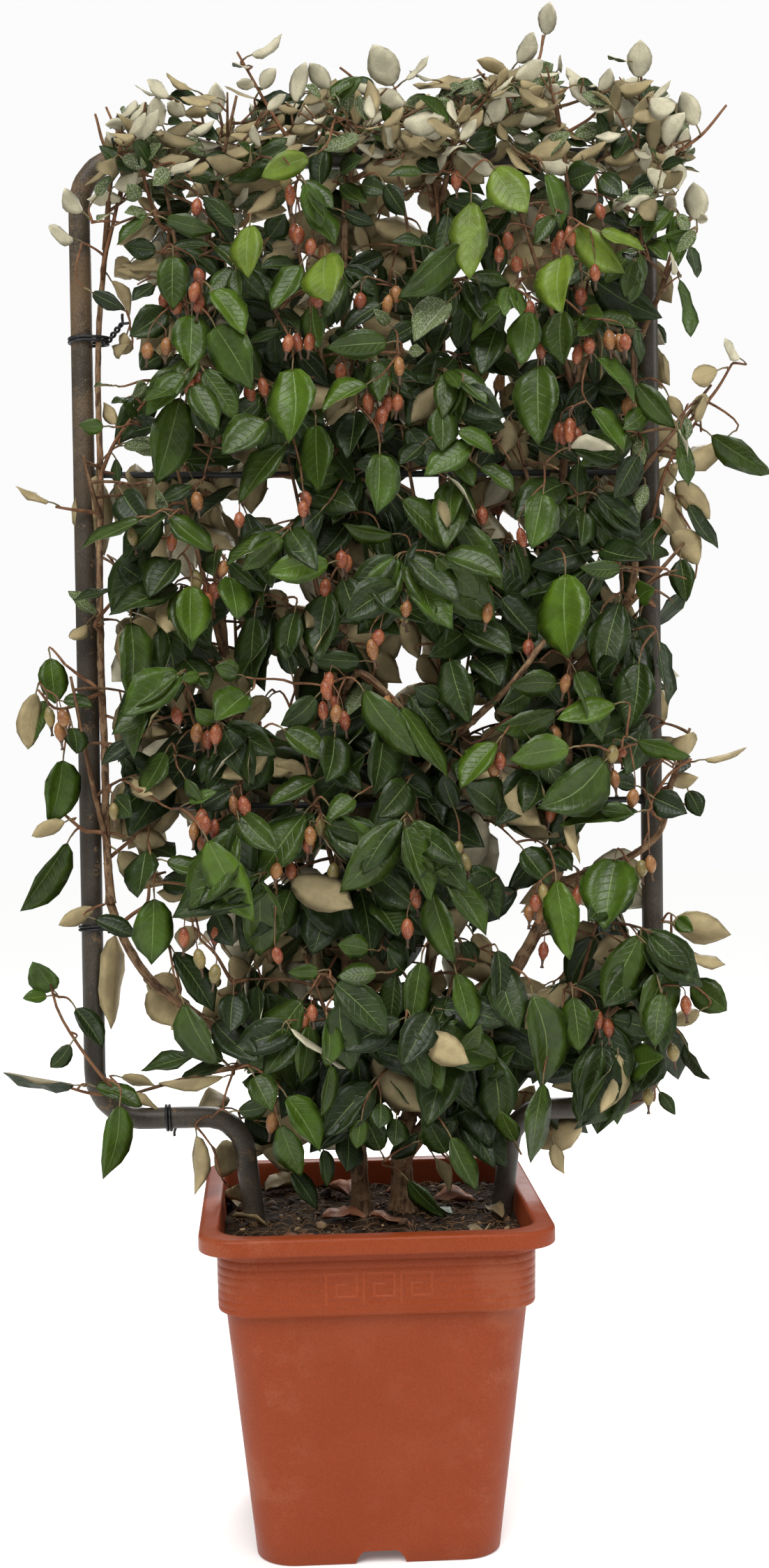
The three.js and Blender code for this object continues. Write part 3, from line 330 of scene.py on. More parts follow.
        (-133, 551, -7, 16, 24), (-156, 552, -8, 16, 16), (-228, 727, -16, -8, 24),
        (-236, 707, 35, -8, 24), (-259, 731, 7, -23, 24), (-86, 542, -15, 36, 24),
        (-65, 590, -12, -12, 20), (-34, 549, -28, -7, 17), (61, 539, 16, 24, 24),
        (129, 562, -32, 0, 24), (133, 538, -32, 0, 32), (110, 602, 19, -32, 24),
        (210, 576, 12, -16, 20), (185, 548, -28, -11, 12), (346, 517, -32, -15, 16),
        (258, 603, -16, 4, 12), (289, 430, -16, 16, 28), (200, 472, 16, -24, 20),
        (224, 455, -32, -15, 24), (-159, 385, 16, -16, 36), (-144, 345, 16, -13, 24),
        (152, 417, 20, 24, 24), (67, 371, 20, -32, 12), (99, 1402, -95, -18, 41),
        (17, 1332, 60, -16, 34), (1, 1333, 10, -41, 20), (-74, 1370, -58, -7, 27),
        (-186, 1292, -53, -12, 18), (-19, 1376, -21, -15, 18), (-85, 1417, -51, 4, 18),
        (25, 1363, 6, -27, 20), (-101, 1296, -16, 21, 23), (173, 1350, -28, -33, 27),
        (191, 1306, -37, -21, 27),
    ],
    "young": [
        (-263, 1357, 19, 24, 17), (92, 1251, -37, -32, 35), (31, 1229, -15, 14, 10),
        (51, 1200, 16, 1, 12), (-223, 1408, -20, -4, 14), (-213, 1393, 12, 19, 16),
        (-190, 1385, -15, -15, 16), (-178, 1401, 12, 11, 14), (-221, 1354, -11, 16, 16),
        (-212, 1339, -21, 6, 17), (-186, 1374, 16, 11, 13), (85, 1455, 24, 18, 24),
        (101, 1464, 23, 6, 20), (187, 1414, -8, 7, 14), (251, 1429, -24, -7, 17),
        (-252, 1339, -12, -4, 12), (-216, 1168, -12, -11, 14), (-271, 934, -27, 27, 14),
    ],
}

# Fruit that show, as x and z of each one's middle on the frame's plane
SHOW_FRUIT = {
    "ripe": [
        (-68, 1361), (-161, 1347), (-63, 1322), (-58, 1319), (-46, 1307), (-33, 1302),
        (-163, 1277), (-164, 1263), (-196, 1254), (-187, 1248), (-161, 1250), (-44, 1255),
        (3, 1252), (39, 1259), (32, 1250), (-70, 1210), (-64, 1211), (-49, 1211), (188, 1332),
        (209, 1316), (217, 1320), (208, 1310), (163, 1289), (146, 1300), (154, 1314),
        (177, 1244), (230, 1257), (244, 1281), (102, 1376), (248, 1343), (187, 1204),
        (227, 1199), (236, 1206), (257, 1214), (267, 1210), (274, 1210), (-19, 1181), (8, 1150),
        (31, 1147), (40, 1149), (-114, 1160), (-100, 1166), (-164, 1172), (-171, 1168),
        (-144, 1188), (18, 1129), (24, 1138), (276, 1145), (216, 1124), (206, 1120), (-58, 1051),
        (-59, 1041), (-124, 1030), (-168, 1051), (-192, 1009), (163, 1012), (125, 1034),
        (-21, 990), (-14, 986), (-37, 961), (-158, 959), (-150, 959), (-158, 948), (-140, 981),
        (131, 935), (-34, 866), (-40, 858), (-42, 836), (-30, 842), (-27, 832), (-21, 826),
        (18, 909), (8, 899), (-170, 815), (-160, 808), (-151, 814), (196, 808), (211, 861),
        (140, 781), (136, 773), (265, 787), (258, 761), (280, 741), (171, 897), (-136, 741),
        (-126, 740), (-193, 832), (25, 841), (207, 1117), (216, 1118), (223, 1114), (-167, 728),
        (-163, 720), (-175, 714), (-154, 717), (-168, 700), (-57, 708), (-58, 698), (-78, 673),
        (-91, 671), (-13, 686), (-9, 670), (49, 642), (42, 611), (176, 633), (170, 623),
        (178, 623), (220, 641), (295, 672), (194, 726), (-155, 609), (-187, 606), (-94, 584),
        (-58, 524), (-64, 515), (184, 584), (249, 503), (238, 513), (331, 525), (85, 495),
        (-99, 413),
    ],
    "unripe": [
        (-74, 1372), (-214, 1202), (-195, 1207), (41, 1187), (-235, 1015), (-171, 972),
        (41, 934), (47, 938), (-321, 834), (-308, 831), (-311, 818), (258, 787), (-46, 719),
        (-32, 670), (97, 690), (101, 677), (182, 644), (286, 667), (-174, 584), (-155, 568),
        (316, 475), (291, 430), (-257, 735),
    ],
}

# Shoots that show, as x and z on the frame's plane from foot to tip
SHOW_SHOOTS = [
    [(39, 1407), (24, 1432), (3, 1473), (-15, 1488)],
    [(83, 1316), (82, 1355), (75, 1398)],
    [(76, 1374), (64, 1401), (52, 1425)],
    [(156, 1456), (144, 1466), (125, 1487)],
    [(144, 1466), (176, 1484), (189, 1499), (193, 1522)],
    [(282, 1351), (292, 1441), (294, 1478)],
    [(312, 1394), (354, 1420), (382, 1452)],
    [(-61, 1405), (-88, 1447), (-105, 1478), (-119, 1503)],
    [(-258, 1289), (-245, 1339), (-235, 1400), (-252, 1447)],
    [(-232, 1400), (-251, 1404), (-263, 1440)],
    [(-202, 1331), (-220, 1408), (-212, 1452)],
    [(309, 1253), (333, 1324), (350, 1340)],
    [(331, 1119), (368, 1159), (386, 1188)],
    [(-143, 1393), (-154, 1428), (-157, 1451)],
    [(14, 1440), (-13, 1444), (-41, 1413)],
    [(211, 1421), (239, 1437), (251, 1449)],
    [(262, 1429), (274, 1394), (284, 1351)],
    [(100, 1386), (116, 1429), (136, 1462)],
    [(-263, 1079), (-248, 1112), (-209, 1162)],
    [(302, 1030), (317, 1082), (343, 1121), (368, 1160)],
    [(112, 819), (145, 858), (187, 913)],
    [(-6, 873), (22, 851), (35, 835)],
    [(-277, 1040), (-292, 1042), (-310, 1045)],
    [(-288, 873), (-304, 886)],
    [(-271, 855), (-312, 840), (-331, 860)],
    [(-271, 929), (-244, 964), (-242, 980)],
    [(-59, 726), (-47, 750), (-41, 785)],
    [(-219, 1030), (-199, 1042), (-164, 1069)],
    [(140, 818), (112, 799), (100, 807)],
    [(302, 939), (282, 971), (265, 1000)],
    [(296, 732), (316, 764), (340, 780)],
    [(-289, 717), (-315, 740)],
    [(-266, 684), (-238, 707), (-212, 730)],
    [(-223, 646), (-222, 687)],
    [(-221, 668), (-205, 672)],
    [(-270, 459), (-293, 490), (-317, 532), (-325, 565)],
    [(-248, 446), (-284, 446), (-319, 457)],
    [(-140, 559), (-156, 587), (-171, 602)],
    [(-42, 565), (-30, 585)],
    [(328, 553), (318, 582), (317, 618)],
    [(221, 536), (218, 572)],
    [(-54, 514), (-56, 542)],
    [(55, 387), (35, 360)],
    [(308, 746), (295, 694)],
]

# Openings in the crown where the background shows, as x, z and half sizes on the frame's plane
OPENINGS = [
    (-120, 1445, 15, 10), (55, 1465, 10, 10), (225, 1445, 15, 15), (65, 1340, 15, 10),
    (-235, 1290, 20, 10), (175, 1270, 5, 10), (-215, 1250, 15, 5), (160, 1235, 5, 15),
    (-245, 1225, 15, 15), (-240, 1180, 15, 20), (140, 1165, 10, 15), (-255, 1130, 5, 15),
    (-225, 1090, 15, 10), (65, 1065, 20, 15), (-80, 1050, 20, 25), (-130, 1040, 5, 15),
    (145, 1030, 10, 10), (260, 960, 10, 10), (-70, 955, 15, 15), (-135, 915, 15, 25),
    (110, 885, 5, 15), (50, 880, 20, 25), (-90, 865, 15, 25), (-260, 840, 10, 20),
    (-95, 825, 10, 15), (120, 825, 20, 15), (-260, 795, 10, 15), (-260, 765, 10, 15),
    (265, 730, 25, 15), (-190, 715, 15, 15), (255, 695, 35, 10), (140, 695, 15, 20),
    (-45, 680, 15, 10), (-260, 670, 10, 20), (225, 620, 5, 15), (275, 615, 10, 15),
    (150, 600, 15, 25), (-155, 580, 10, 15), (185, 570, 20, 25), (-225, 535, 30, 40),
    (-230, 485, 45, 20), (-135, 445, 15, 20), (-195, 440, 15, 10), (45, 400, 10, 25),
]
# Strips where the frame shows in front of the crown, as left, right, low and high
SEEN_FRAME = [
    (299, 324, 640, 1290), (-268, -80, ROD_HEIGHTS[1] - 7, ROD_HEIGHTS[1] + 7),
    (-10, 130, ROD_HEIGHTS[1] - 6, ROD_HEIGHTS[1] + 6),
    (-230, -70, ROD_HEIGHTS[0] - 7, ROD_HEIGHTS[0] + 7),
    (110, 300, ROD_HEIGHTS[0] - 7, ROD_HEIGHTS[0] + 7), (276, 320, 420, 440), (160, 216, 412, 438),
]

# Outline of the crown that fills from twig to twig, as x and z on the frame's plane
CROWN_OUTLINE = [
    (-262, 1390), (-250, 1440), (-200, 1466), (-130, 1472), (-100, 1452), (-60, 1470),
    (0, 1480), (60, 1462), (130, 1480), (190, 1500), (240, 1478), (300, 1480), (340, 1450),
    (350, 1400), (336, 1370), (354, 1330), (336, 1290), (322, 1230), (316, 1190), (342, 1140),
    (345, 1060), (338, 960), (320, 900), (314, 820), (348, 790), (348, 730), (320, 700),
    (312, 640), (334, 600), (356, 540), (346, 470), (312, 430), (262, 400), (200, 372),
    (150, 365), (110, 345), (60, 380), (20, 400), (-30, 370), (-70, 345), (-110, 370),
    (-130, 420), (-160, 470), (-180, 520), (-190, 600), (-230, 610), (-258, 650),
    (-264, 720), (-268, 800), (-262, 870), (-258, 930), (-258, 1000), (-258, 1060),
    (-250, 1100), (-256, 1140), (-240, 1180), (-248, 1240), (-240, 1280), (-256, 1320),
    (-285, 1345),
]

# Where the photograph's eye stands: millimetres, then the turns in radians
EYE = (-93.823, -1987.797, 818.2845)
EYE_YAW = 0.0574
EYE_PITCH = 0.0299
EYE_ROLL = -0.0135
SENSOR_HEIGHT = 36
LENS = 44.45

# Limbs with bark that carry shoots outside the boughs: points and the two end radii
SIDE_LIMBS = [
    ([(83, -4, 1310), (82, -16, 1356), (74, -24, 1408)], (5.2, 4.4)),
    ([(80, -14, 1330), (70, -24, 1372), (62, -28, 1404), (52, -30, 1424)], (3.4, 2.2)),
    ([(86, 8, 800), (106, -40, 821), (145, -74, 860), (185, -84, 912)], (4.4, 2.6)),
    ([(-22, -10, 850), (-4, -52, 872), (20, -66, 852), (34, -70, 836)], (3.4, 2.4)),
]
LIMB_SEED = 60

# Leaf blades: where their points stand along and across, thickness in millimetres, then the
# exponents, waves and shares of the blade's formula
LEAF_ROWS = np.array([0.07, 0.22, 0.4, 0.58, 0.75, 0.9])
LEAF_COLUMNS = np.array([-1, -0.5, 0, 0.5, 1])
LEAF_THICKNESS = 0.55
LEAF_FULLNESS = 0.66
LEAF_POINT = 0.42
LEAF_WAVES = 1.7
LEAF_GROOVE = 0.25
LEAF_PULL = 0.25

# Fruit: where the rings of its body stand, then distance and radius of its withered tube's rings
FRUIT_ROWS = np.array([0.05, 0.2, 0.46, 0.72, 0.92])
FRUIT_SIDES = 8
FRUIT_TAIL = np.array([(0.4, 1.5), (4.6, 1.1), (7.5, 2.1)])
CHIP_SIDES = 6
SURFACE_MAP = "Surface"

# Finishes in the order that each piece holds them
TWIG, YOUNG_TWIG, LEAF_STALK, FRUIT_STALK = range(4)
RIPE, TURNING, UNRIPE, WITHERED = range(4)
BARK_CHIP, ROOT_FIBRE, PALE_CHIP, BROWN_CHIP = range(4)
DRY, FALLEN_GREEN, PALE_DRY = range(3)
TONES = ("bright", "green", "fresh", "dark", "deep", "sunlit", "young")
BRIGHT, GREEN, FRESH, DARK, DEEP, SUNLIT, YOUNG = range(7)
UNDERSIDES = ("silver", "shaded", "dusky")
SILVER, SHADED, DUSKY = range(3)


# Numbers and lines

def unit(vectors):
    """Each vector divided by its length."""
    vectors = np.asarray(vectors, float)
    return vectors / np.maximum(np.linalg.norm(vectors, axis=-1, keepdims=True), 1e-9)


def across(first, second):
    """The part of each first vector that stands square to the second, at length one."""
    second = unit(second)
    first = np.asarray(first, float)
    return unit(first - (first * second).sum(-1, keepdims=True) * second)


def even_line(points, spacing):
    """Points along a line of straight runs, moved to equal steps of length."""
    points = np.asarray(points, float)
    reach = np.concatenate([[0], np.cumsum(np.linalg.norm(np.diff(points, axis=0), axis=1))])
    stops = np.linspace(0, reach[-1], max(2, round(reach[-1] / spacing) + 1))
    return np.stack([np.interp(stops, reach, points[:, axis]) for axis in range(3)], axis=1)


def smooth_line(points, spacing):
    """A centripetal Catmull-Rom line through the points: between two of them it blends the
    straight lines through each pair of neighbours, with knots a root of the distance apart."""
    p = np.asarray(points, float)
    p = np.vstack([2 * p[0] - p[1], p, 2 * p[-1] - p[-2]])
    knots = np.concatenate([[0], np.cumsum(np.linalg.norm(np.diff(p, axis=0), axis=1) ** 0.5)])
    runs = []
    for k in range(1, len(p) - 2):
        t = np.linspace(knots[k], knots[k + 1], 16, endpoint=False)[:, None]

        def blend(i, j, a, b):
            return ((knots[j] - t) * a + (t - knots[i]) * b) / (knots[j] - knots[i])

        first, middle, last = (blend(i, i + 1, p[i], p[i + 1]) for i in (k - 1, k, k + 1))
        before = blend(k - 1, k + 1, first, middle)
        runs.append(blend(k, k + 1, before, blend(k, k + 2, middle, last)))
    return even_line(np.vstack(runs + [p[-2:-1]]), spacing)


def spread_line(points, spacing, stations):
    """A smooth line thinned to a set number of its points."""
    line = smooth_line(points, spacing)
    return line[np.linspace(0, len(line) - 1, stations).astype(int)]


def bent_line(corners, radii, spacing):
    """Straight runs between corner points, each corner rounded by an arc of its own radius."""
    corners = np.asarray(corners, float)
    line = [corners[:1]]
    for before, corner, after, radius in zip(corners, corners[1:], corners[2:], radii):
        into, out = unit(corner - before), unit(after - corner)
        turn = math.acos(float(np.clip(into @ out, -1, 1)))
        start = corner - into * radius * math.tan(turn / 2)
        side = unit(out - into * (into @ out))
        angle = np.linspace(0, turn, 14)[:, None]
        line.append(start + radius * (into * np.sin(angle) + side * (1 - np.cos(angle))))
    return even_line(np.vstack(line + [corners[-1:]]), spacing)


def rough(points, wavelength, seed, waves=9):
    """A rough surface, about -1 to 1: the sum of plane waves in seeded directions."""
    draw = np.random.default_rng(seed)
    ways = unit(draw.normal(size=(waves, 3))) / (wavelength * draw.uniform(0.6, 1.7, (waves, 1)))
    phase = draw.uniform(0, TURN, waves)
    heights = np.sin(TURN * (np.asarray(points, float) @ ways.T) + phase)
    return heights.sum(-1) / math.sqrt(2 * waves)


def towards_eye(x, z, y):
    """A point of the frame's plane moved to depth y along the line of sight."""
    near = (y - EYE[1]) / -EYE[1]
    return np.stack([EYE[0] + (x - EYE[0]) * near, y + 0 * near, EYE[2] + (z - EYE[2]) * near], -1)


def on_plane(points):
    """Where points show on the frame's plane, as x and z."""
    points = np.asarray(points, float)
    near = (points[..., 1] - EYE[1]) / -EYE[1]
    return (points[..., 0] - EYE[0]) / near + EYE[0], (points[..., 2] - EYE[2]) / near + EYE[2]


# Surfaces

class Surface:
    """Parts of one mesh: points in millimetres, faces of three or four corners, the material
    of each face and its corners' places on the surface."""

    def __init__(self):
        self.points, self.faces, self.slots, self.places = [], [], [], []
        self.count = 0

    def add_points(self, points):
        """Adds points and returns the number of the first."""
        self.points.append(np.asarray(points, float).reshape(-1, 3))
        self.count += len(self.points[-1])
        return self.count - len(self.points[-1])

    def add_bodies(self, points):
        """Adds bodies of as many points each (n, k, 3) and returns the number of each first."""
        return np.arange(len(points))[:, None, None] * points.shape[1] + self.add_points(points)

    def add_faces(self, faces, slot=0, places=None):
        """Adds faces (..., corners) of point numbers, and each corner's place on the surface."""
        faces = np.asarray(faces, int)
        faces = faces.reshape(-1, faces.shape[-1])
        self.faces.append(faces)
        self.slots.append(np.broadcast_to(slot, len(faces)))
        places = np.zeros(faces.shape + (2,)) if places is None else places
        self.places.append(places.reshape(-1, 2))

    def piece(self, name, finishes, crease=None):
        """The finished object, smooth but for edges sharper than the crease in degrees."""
        mesh = bpy.data.meshes.new(name)
        sizes = np.concatenate([np.full(len(faces), faces.shape[1]) for faces in self.faces])
        corners = np.concatenate([faces.ravel() for faces in self.faces])
        mesh.vertices.add(self.count)
        mesh.loops.add(len(corners))
        mesh.polygons.add(len(sizes))
        for target, key, values, kind in (
            (mesh.vertices, "co", np.concatenate(self.points) * MM, np.float32),
            (mesh.loops, "vertex_index", corners, np.int32),
            (mesh.polygons, "loop_start", np.cumsum(sizes) - sizes, np.int32),
            (mesh.polygons, "material_index", np.concatenate(self.slots), np.int32),
        ):
            target.foreach_set(key, values.astype(kind).ravel())
        layer = mesh.uv_layers.new(name=SURFACE_MAP)
        layer.uv.foreach_set("vector", np.concatenate(self.places).astype(np.float32).ravel())
        mesh.update(calc_edges=True)
        mesh.validate()
        mesh.shade_smooth()
        if crease is not None:
            mesh.set_sharp_from_angle(angle=math.radians(crease))
        for finish in finishes:
            mesh.materials.append(finish)
        obj = bpy.data.objects.new(name, mesh)
        bpy.context.scene.collection.objects.link(obj)
        return obj


def grid_faces(rows, columns):
    """Faces between neighbouring rings of a grid, its last column joined to its first. Also the
    place of each corner: share of the way round and share of the way along."""
    row, column = np.arange(rows - 1)[:, None], np.arange(columns)[None, :]
    here, there = row * columns + column, row * columns + (column + 1) % columns
    faces = np.stack([here, there, there + columns, here + columns], -1).reshape(-1, 4)
    corner = np.stack(np.broadcast_arrays(column / columns, row / (rows - 1)), -1)[..., None, :]
    wide, high = 1 / columns, 1 / (rows - 1)
    shift = np.array([(0, 0), (wide, 0), (wide, high), (0, high)])
    return faces, (corner + shift).reshape(-1, 4, 2)


def end_fans(rows, around):
    """Faces that close a grid's first and last ring on the two points that follow the grid."""
    k = np.arange(around)
    after, last, pole = (k + 1) % around, (rows - 1) * around, np.full(around, rows * around)
    return np.stack([after, k, pole], -1), np.stack([last + k, last + after, pole + 1], -1)


def add_tubes(surface, paths, radii, sides, slot=0, relief=None):
    """Round rods along paths (n, k, 3) with radii (n, k): each ring is the path's point plus
    radius times cosine and sine of the turn along two directions square to it, measured from
    the axis that the path runs along least. Both ends close in a point on the path. Relief
    adds to the radius of every ring point."""
    count, stations = paths.shape[:2]
    tangents = unit(np.gradient(paths, axis=1))
    least = np.abs(tangents.mean(1)).argmin(-1)
    first = across(np.eye(3)[least][:, None, :] + 0 * tangents, tangents)
    second = np.cross(tangents, first)
    turn = np.arange(sides) / sides * TURN
    out = first[:, :, None] * np.cos(turn)[:, None] + second[:, :, None] * np.sin(turn)[:, None]
    reach = np.broadcast_to(radii[:, :, None], (count, stations, sides))
    if relief is not None:
        reach = reach + relief
    rings = paths[:, :, None] + out * reach[..., None]
    points = np.concatenate([rings.reshape(count, -1, 3), paths[:, :1], paths[:, -1:]], 1)
    faces, places = grid_faces(stations, sides)
    length = np.linalg.norm(np.diff(paths, axis=1), axis=2).sum(1)
    scale = np.stack([TURN * radii.mean(1), length], -1)[:, None, None, :] * MM
    offset = surface.add_bodies(points)
    surface.add_faces(faces + offset, slot, places * scale)
    surface.add_faces(np.concatenate(end_fans(stations, sides)) + offset, slot)


def add_tube(surface, line, radius, sides, relief=None):
    """One round rod along a line, with one radius or one for each of its points."""
    radii = np.broadcast_to(np.asarray(radius, float), len(line))
    add_tubes(surface, line[None], radii[None], sides, 0, None if relief is None else relief[None])


def add_leaves(surface, leaves, top_slots, under_slots):
    """Leaf blades. Half the width is the sine of the way along, skewed to the base, to a power
    that grows to the tip and so draws it to a point. A blade folds up along its midrib, droops
    with the square of the way along, twists, bows aside and waves along its margin. The
    underside lies a leaf's thickness below and shares the rim."""
    root, along = leaves["root"], unit(leaves["along"])
    face = across(leaves["face"], along)
    each = {**leaves, "along": along, "face": face, "side": np.cross(along, face)}
    each = {key: values[:, None, None] for key, values in each.items()}
    length, width, droop = each["length"], each["width"], each["droop"]
    u, v = LEAF_ROWS[None, :, None], LEAF_COLUMNS[None, None, :]
    half = width / 2 * np.sin(math.pi * u ** each["skew"]) ** (LEAF_FULLNESS + each["point"] * u)
    ripple = np.sin(TURN * LEAF_WAVES * u + each["phase"] * np.sign(v) + each["phase"])
    margin = each["wave"] * length * np.abs(v) ** 1.5 * ripple
    groove = -LEAF_GROOVE * width / 10 * (np.abs(v) < 0.1)
    height = each["fold"] * np.abs(v) * half + margin + groove - droop * length * u ** 2
    height = height + each["twist"] * v * half * u
    bow = each["bow"] * length * np.sin(math.pi * u)
    reach = length * (u - LEAF_PULL * droop ** 2 * u ** 3) + 0 * v
    grid = (each["root"] + each["along"] * reach[..., None]
            + each["side"] * (v * half + bow)[..., None] + each["face"] * height[..., None])
    length, droop = leaves["length"][:, None], leaves["droop"][:, None]
    tip = root + along * (length * (1 - LEAF_PULL * droop ** 2)) - face * (droop * length)
    under = grid[:, :, 1:-1] - each["face"] * LEAF_THICKNESS
    count, rows, columns = grid.shape[:3]
    points = np.concatenate([
        grid.reshape(count, -1, 3), root[:, None], tip[:, None], under.reshape(count, -1, 3),
    ], 1)
    base, end = rows * columns, rows * columns + 1
    above = np.arange(rows * columns).reshape(rows, columns)
    below = above.copy()
    below[:, 1:-1] = end + 1 + np.arange(rows * (columns - 2)).reshape(rows, -1)
    offset = surface.add_bodies(points)
    shares = np.meshgrid(LEAF_ROWS, LEAF_COLUMNS * 0.5 + 0.5, indexing="ij")
    for table, way, slots in ((above, 1, top_slots), (below, -1, under_slots)):
        near, far = table[:-1], table[1:]
        quads = np.stack([near[:, :-1], near[:, 1:], far[:, 1:], far[:, :-1]], -1).reshape(-1, 4)
        low = np.stack([np.full(columns - 1, base), table[0, 1:], table[0, :-1]], -1)
        high = np.stack([table[-1, :-1], table[-1, 1:], np.full(columns - 1, end)], -1)
        faces = np.concatenate([quads[:, :3], quads[:, [0, 2, 3]], low, high])[:, ::way]
        share = np.zeros((points.shape[1], 2))
        share[table] = np.stack(shares, -1)
        share[base], share[end] = (0, 0.5), (1, 0.5)
        places = np.tile(share[faces], (count, 1, 1))
        surface.add_faces(faces + offset, np.repeat(slots, len(faces)), places)


def add_fruits(surface, fruits, slots):
    """Fruit bodies hanging along a direction: the radius is the sine of the way along to a power
    below one, fuller towards the stalk. The withered flower tube follows as a narrow neck that
    flares at its end."""
    root, down = fruits["root"], unit(fruits["down"])
    count = len(root)
    first = across(np.tile((0.3, 1, 0.1), (count, 1)), down)
    second = np.cross(down, first)
    length, radius = fruits["length"][:, None], fruits["radius"][:, None]
    reach = np.concatenate([FRUIT_ROWS[None] * length, length + FRUIT_TAIL[None, :, 0]], 1)
    body = radius * np.sin(math.pi * FRUIT_ROWS[None] ** 0.93) ** 0.62
    girth = np.concatenate([body, np.tile(FRUIT_TAIL[:, 1], (count, 1))], 1)
    turn = (np.arange(FRUIT_SIDES) / FRUIT_SIDES * TURN)[:, None]
    out = first[:, None, None] * np.cos(turn) + second[:, None, None] * np.sin(turn)
    rings = (root[:, None, None] + down[:, None, None] * reach[:, :, None, None]
             + out * girth[:, :, None, None])
    end = root + down * (reach[:, -1:] - 1)
    points = np.concatenate([rings.reshape(count, -1, 3), root[:, None], end[:, None]], 1)
    rows = reach.shape[1]
    faces, places = grid_faces(rows, FRUIT_SIDES)
    offset = surface.add_bodies(points)
    kinds = np.repeat(slots[:, None], len(faces), 1)
    kinds[:, (len(FRUIT_ROWS) - 1) * FRUIT_SIDES:] = WITHERED
    surface.add_faces(faces + offset, kinds.ravel(), np.tile(places, (count, 1, 1)))
    low, high = end_fans(rows, FRUIT_SIDES)
    surface.add_faces(low + offset, np.repeat(slots, FRUIT_SIDES))
    surface.add_faces(high + offset, WITHERED)


def add_chips(surface, places, sizes, seed, slots):
    """Broken chips: three rings of six points and two poles, stretched by their own sizes, turned
    and roughened at random from the seed."""
    draw = np.random.default_rng(seed)
    count = len(places)
    lift = np.array([-0.6, 0, 0.6])[:, None]
    turn = np.arange(CHIP_SIDES) / CHIP_SIDES * TURN
    wide = np.sqrt(1 - lift ** 2)
    ring = np.stack([wide * np.cos(turn), wide * np.sin(turn), lift + 0 * turn], -1)
    ball = np.concatenate([ring.reshape(-1, 3), [(0, 0, -1), (0, 0, 1)]])
    shape = ball[None] * draw.uniform(0.72, 1.2, (count, len(ball), 1)) * sizes[:, None]
    spin, tip = draw.uniform(0, TURN, count)[:, None], draw.normal(0, 0.35, count)[:, None]
    x, y, z = np.moveaxis(shape, -1, 0)
    x, z = x * np.cos(tip) - z * np.sin(tip), x * np.sin(tip) + z * np.cos(tip)
    x, y = x * np.cos(spin) - y * np.sin(spin), x * np.sin(spin) + y * np.cos(spin)
    offset = surface.add_bodies(np.stack([x, y, z], -1) + places[:, None])
    for faces in (grid_faces(3, CHIP_SIDES)[0], np.concatenate(end_fans(3, CHIP_SIDES))):
        surface.add_faces(faces + offset, np.repeat(slots, len(faces)))


# Materials

class Wiring:
    """Puts nodes in a tree, sets their sockets and links them."""

    def __init__(self, tree):
        self.tree = tree

    def node(self, kind, sockets=None, **settings):
        node = self.tree.nodes.new("ShaderNode" + kind)
        for key, value in settings.items():
            setattr(node, key, value)
        for key, value in (sockets or {}).items():
            if isinstance(value, bpy.types.NodeSocket):
                self.tree.links.new(value, node.inputs[key])
            else:
                node.inputs[key].default_value = value
        return node.outputs

    def math(self, operation, first, second=0.0, third=0.0):
        return self.node("Math", {0: first, 1: second, 2: third}, operation=operation)[0]

    def times(self, first, second):
        return self.math("MULTIPLY", first, second)

    def times_plus(self, first, second, third):
        return self.math("MULTIPLY_ADD", first, second, third)

    def smooth(self, value, low, high, start=0.0, end=1.0):
        """The value's way from low to high, eased at both ends, as a number from start to end."""
        return self.node("MapRange", {0: value, 1: low, 2: high, 3: start, 4: end},
                         interpolation_type="SMOOTHSTEP")[0]

    def mix(self, share, first, second, blend="MIX"):
        return self.node("Mix", {0: share, 6: first, 7: second},
                         data_type="RGBA", blend_type=blend)[2]

    def noise(self, vector, scale, detail=3.0, rough_share=0.55):
        return self.node("TexNoise", {"Vector": vector, "Scale": scale, "Detail": detail,
                                      "Roughness": rough_share})[0]

    def group(self, name, sockets):
        return self.node("Group", sockets, node_tree=effect(name))

    def mottle(self, first, second, scale, fine_scale, fine_share):
        return self.group("Mottle", {"First": first, "Second": second, "Scale": scale,
                                     "Fine Scale": fine_scale, "Fine Share": fine_share})

    def object_place(self):
        return self.node("TexCoord")["Object"]

    def surface_place(self):
        return self.node("UVMap", uv_map=SURFACE_MAP)[0]


def linear(colour):
    """A colour given in display values, in scene values."""
    return tuple(c / 12.92 if c <= 0.04045 else ((c + 0.055) / 1.055) ** 2.4
                 for c in colour[:3]) + (1.0,)


def rgb(red, green, blue):
    """A colour given from 0 to 255, in scene values."""
    return linear((red / 255, green / 255, blue / 255))


def shade(colour, times, plus=0.0):
    """A scene colour made lighter or darker."""
    return tuple(min(1, c * times + plus) for c in colour[:3]) + (1.0,)


def mottle_effect(wiring, entry):
    """Two colours in soft clouds, with finer clouds that lighten and darken them."""
    place = wiring.object_place()
    clouds = wiring.smooth(wiring.noise(place, entry["Scale"]), 0.35, 0.65)
    fine = wiring.noise(place, entry["Fine Scale"], 2.0)
    both = wiring.mix(clouds, entry["First"], entry["Second"])
    dark = wiring.mix(entry["Fine Share"], both, (0.0, 0.0, 0.0, 1.0), "MULTIPLY")
    colour = wiring.mix(wiring.smooth(fine, 0.35, 0.65), both, dark)
    return {"Colour": colour, "Clouds": clouds, "Fine": fine}


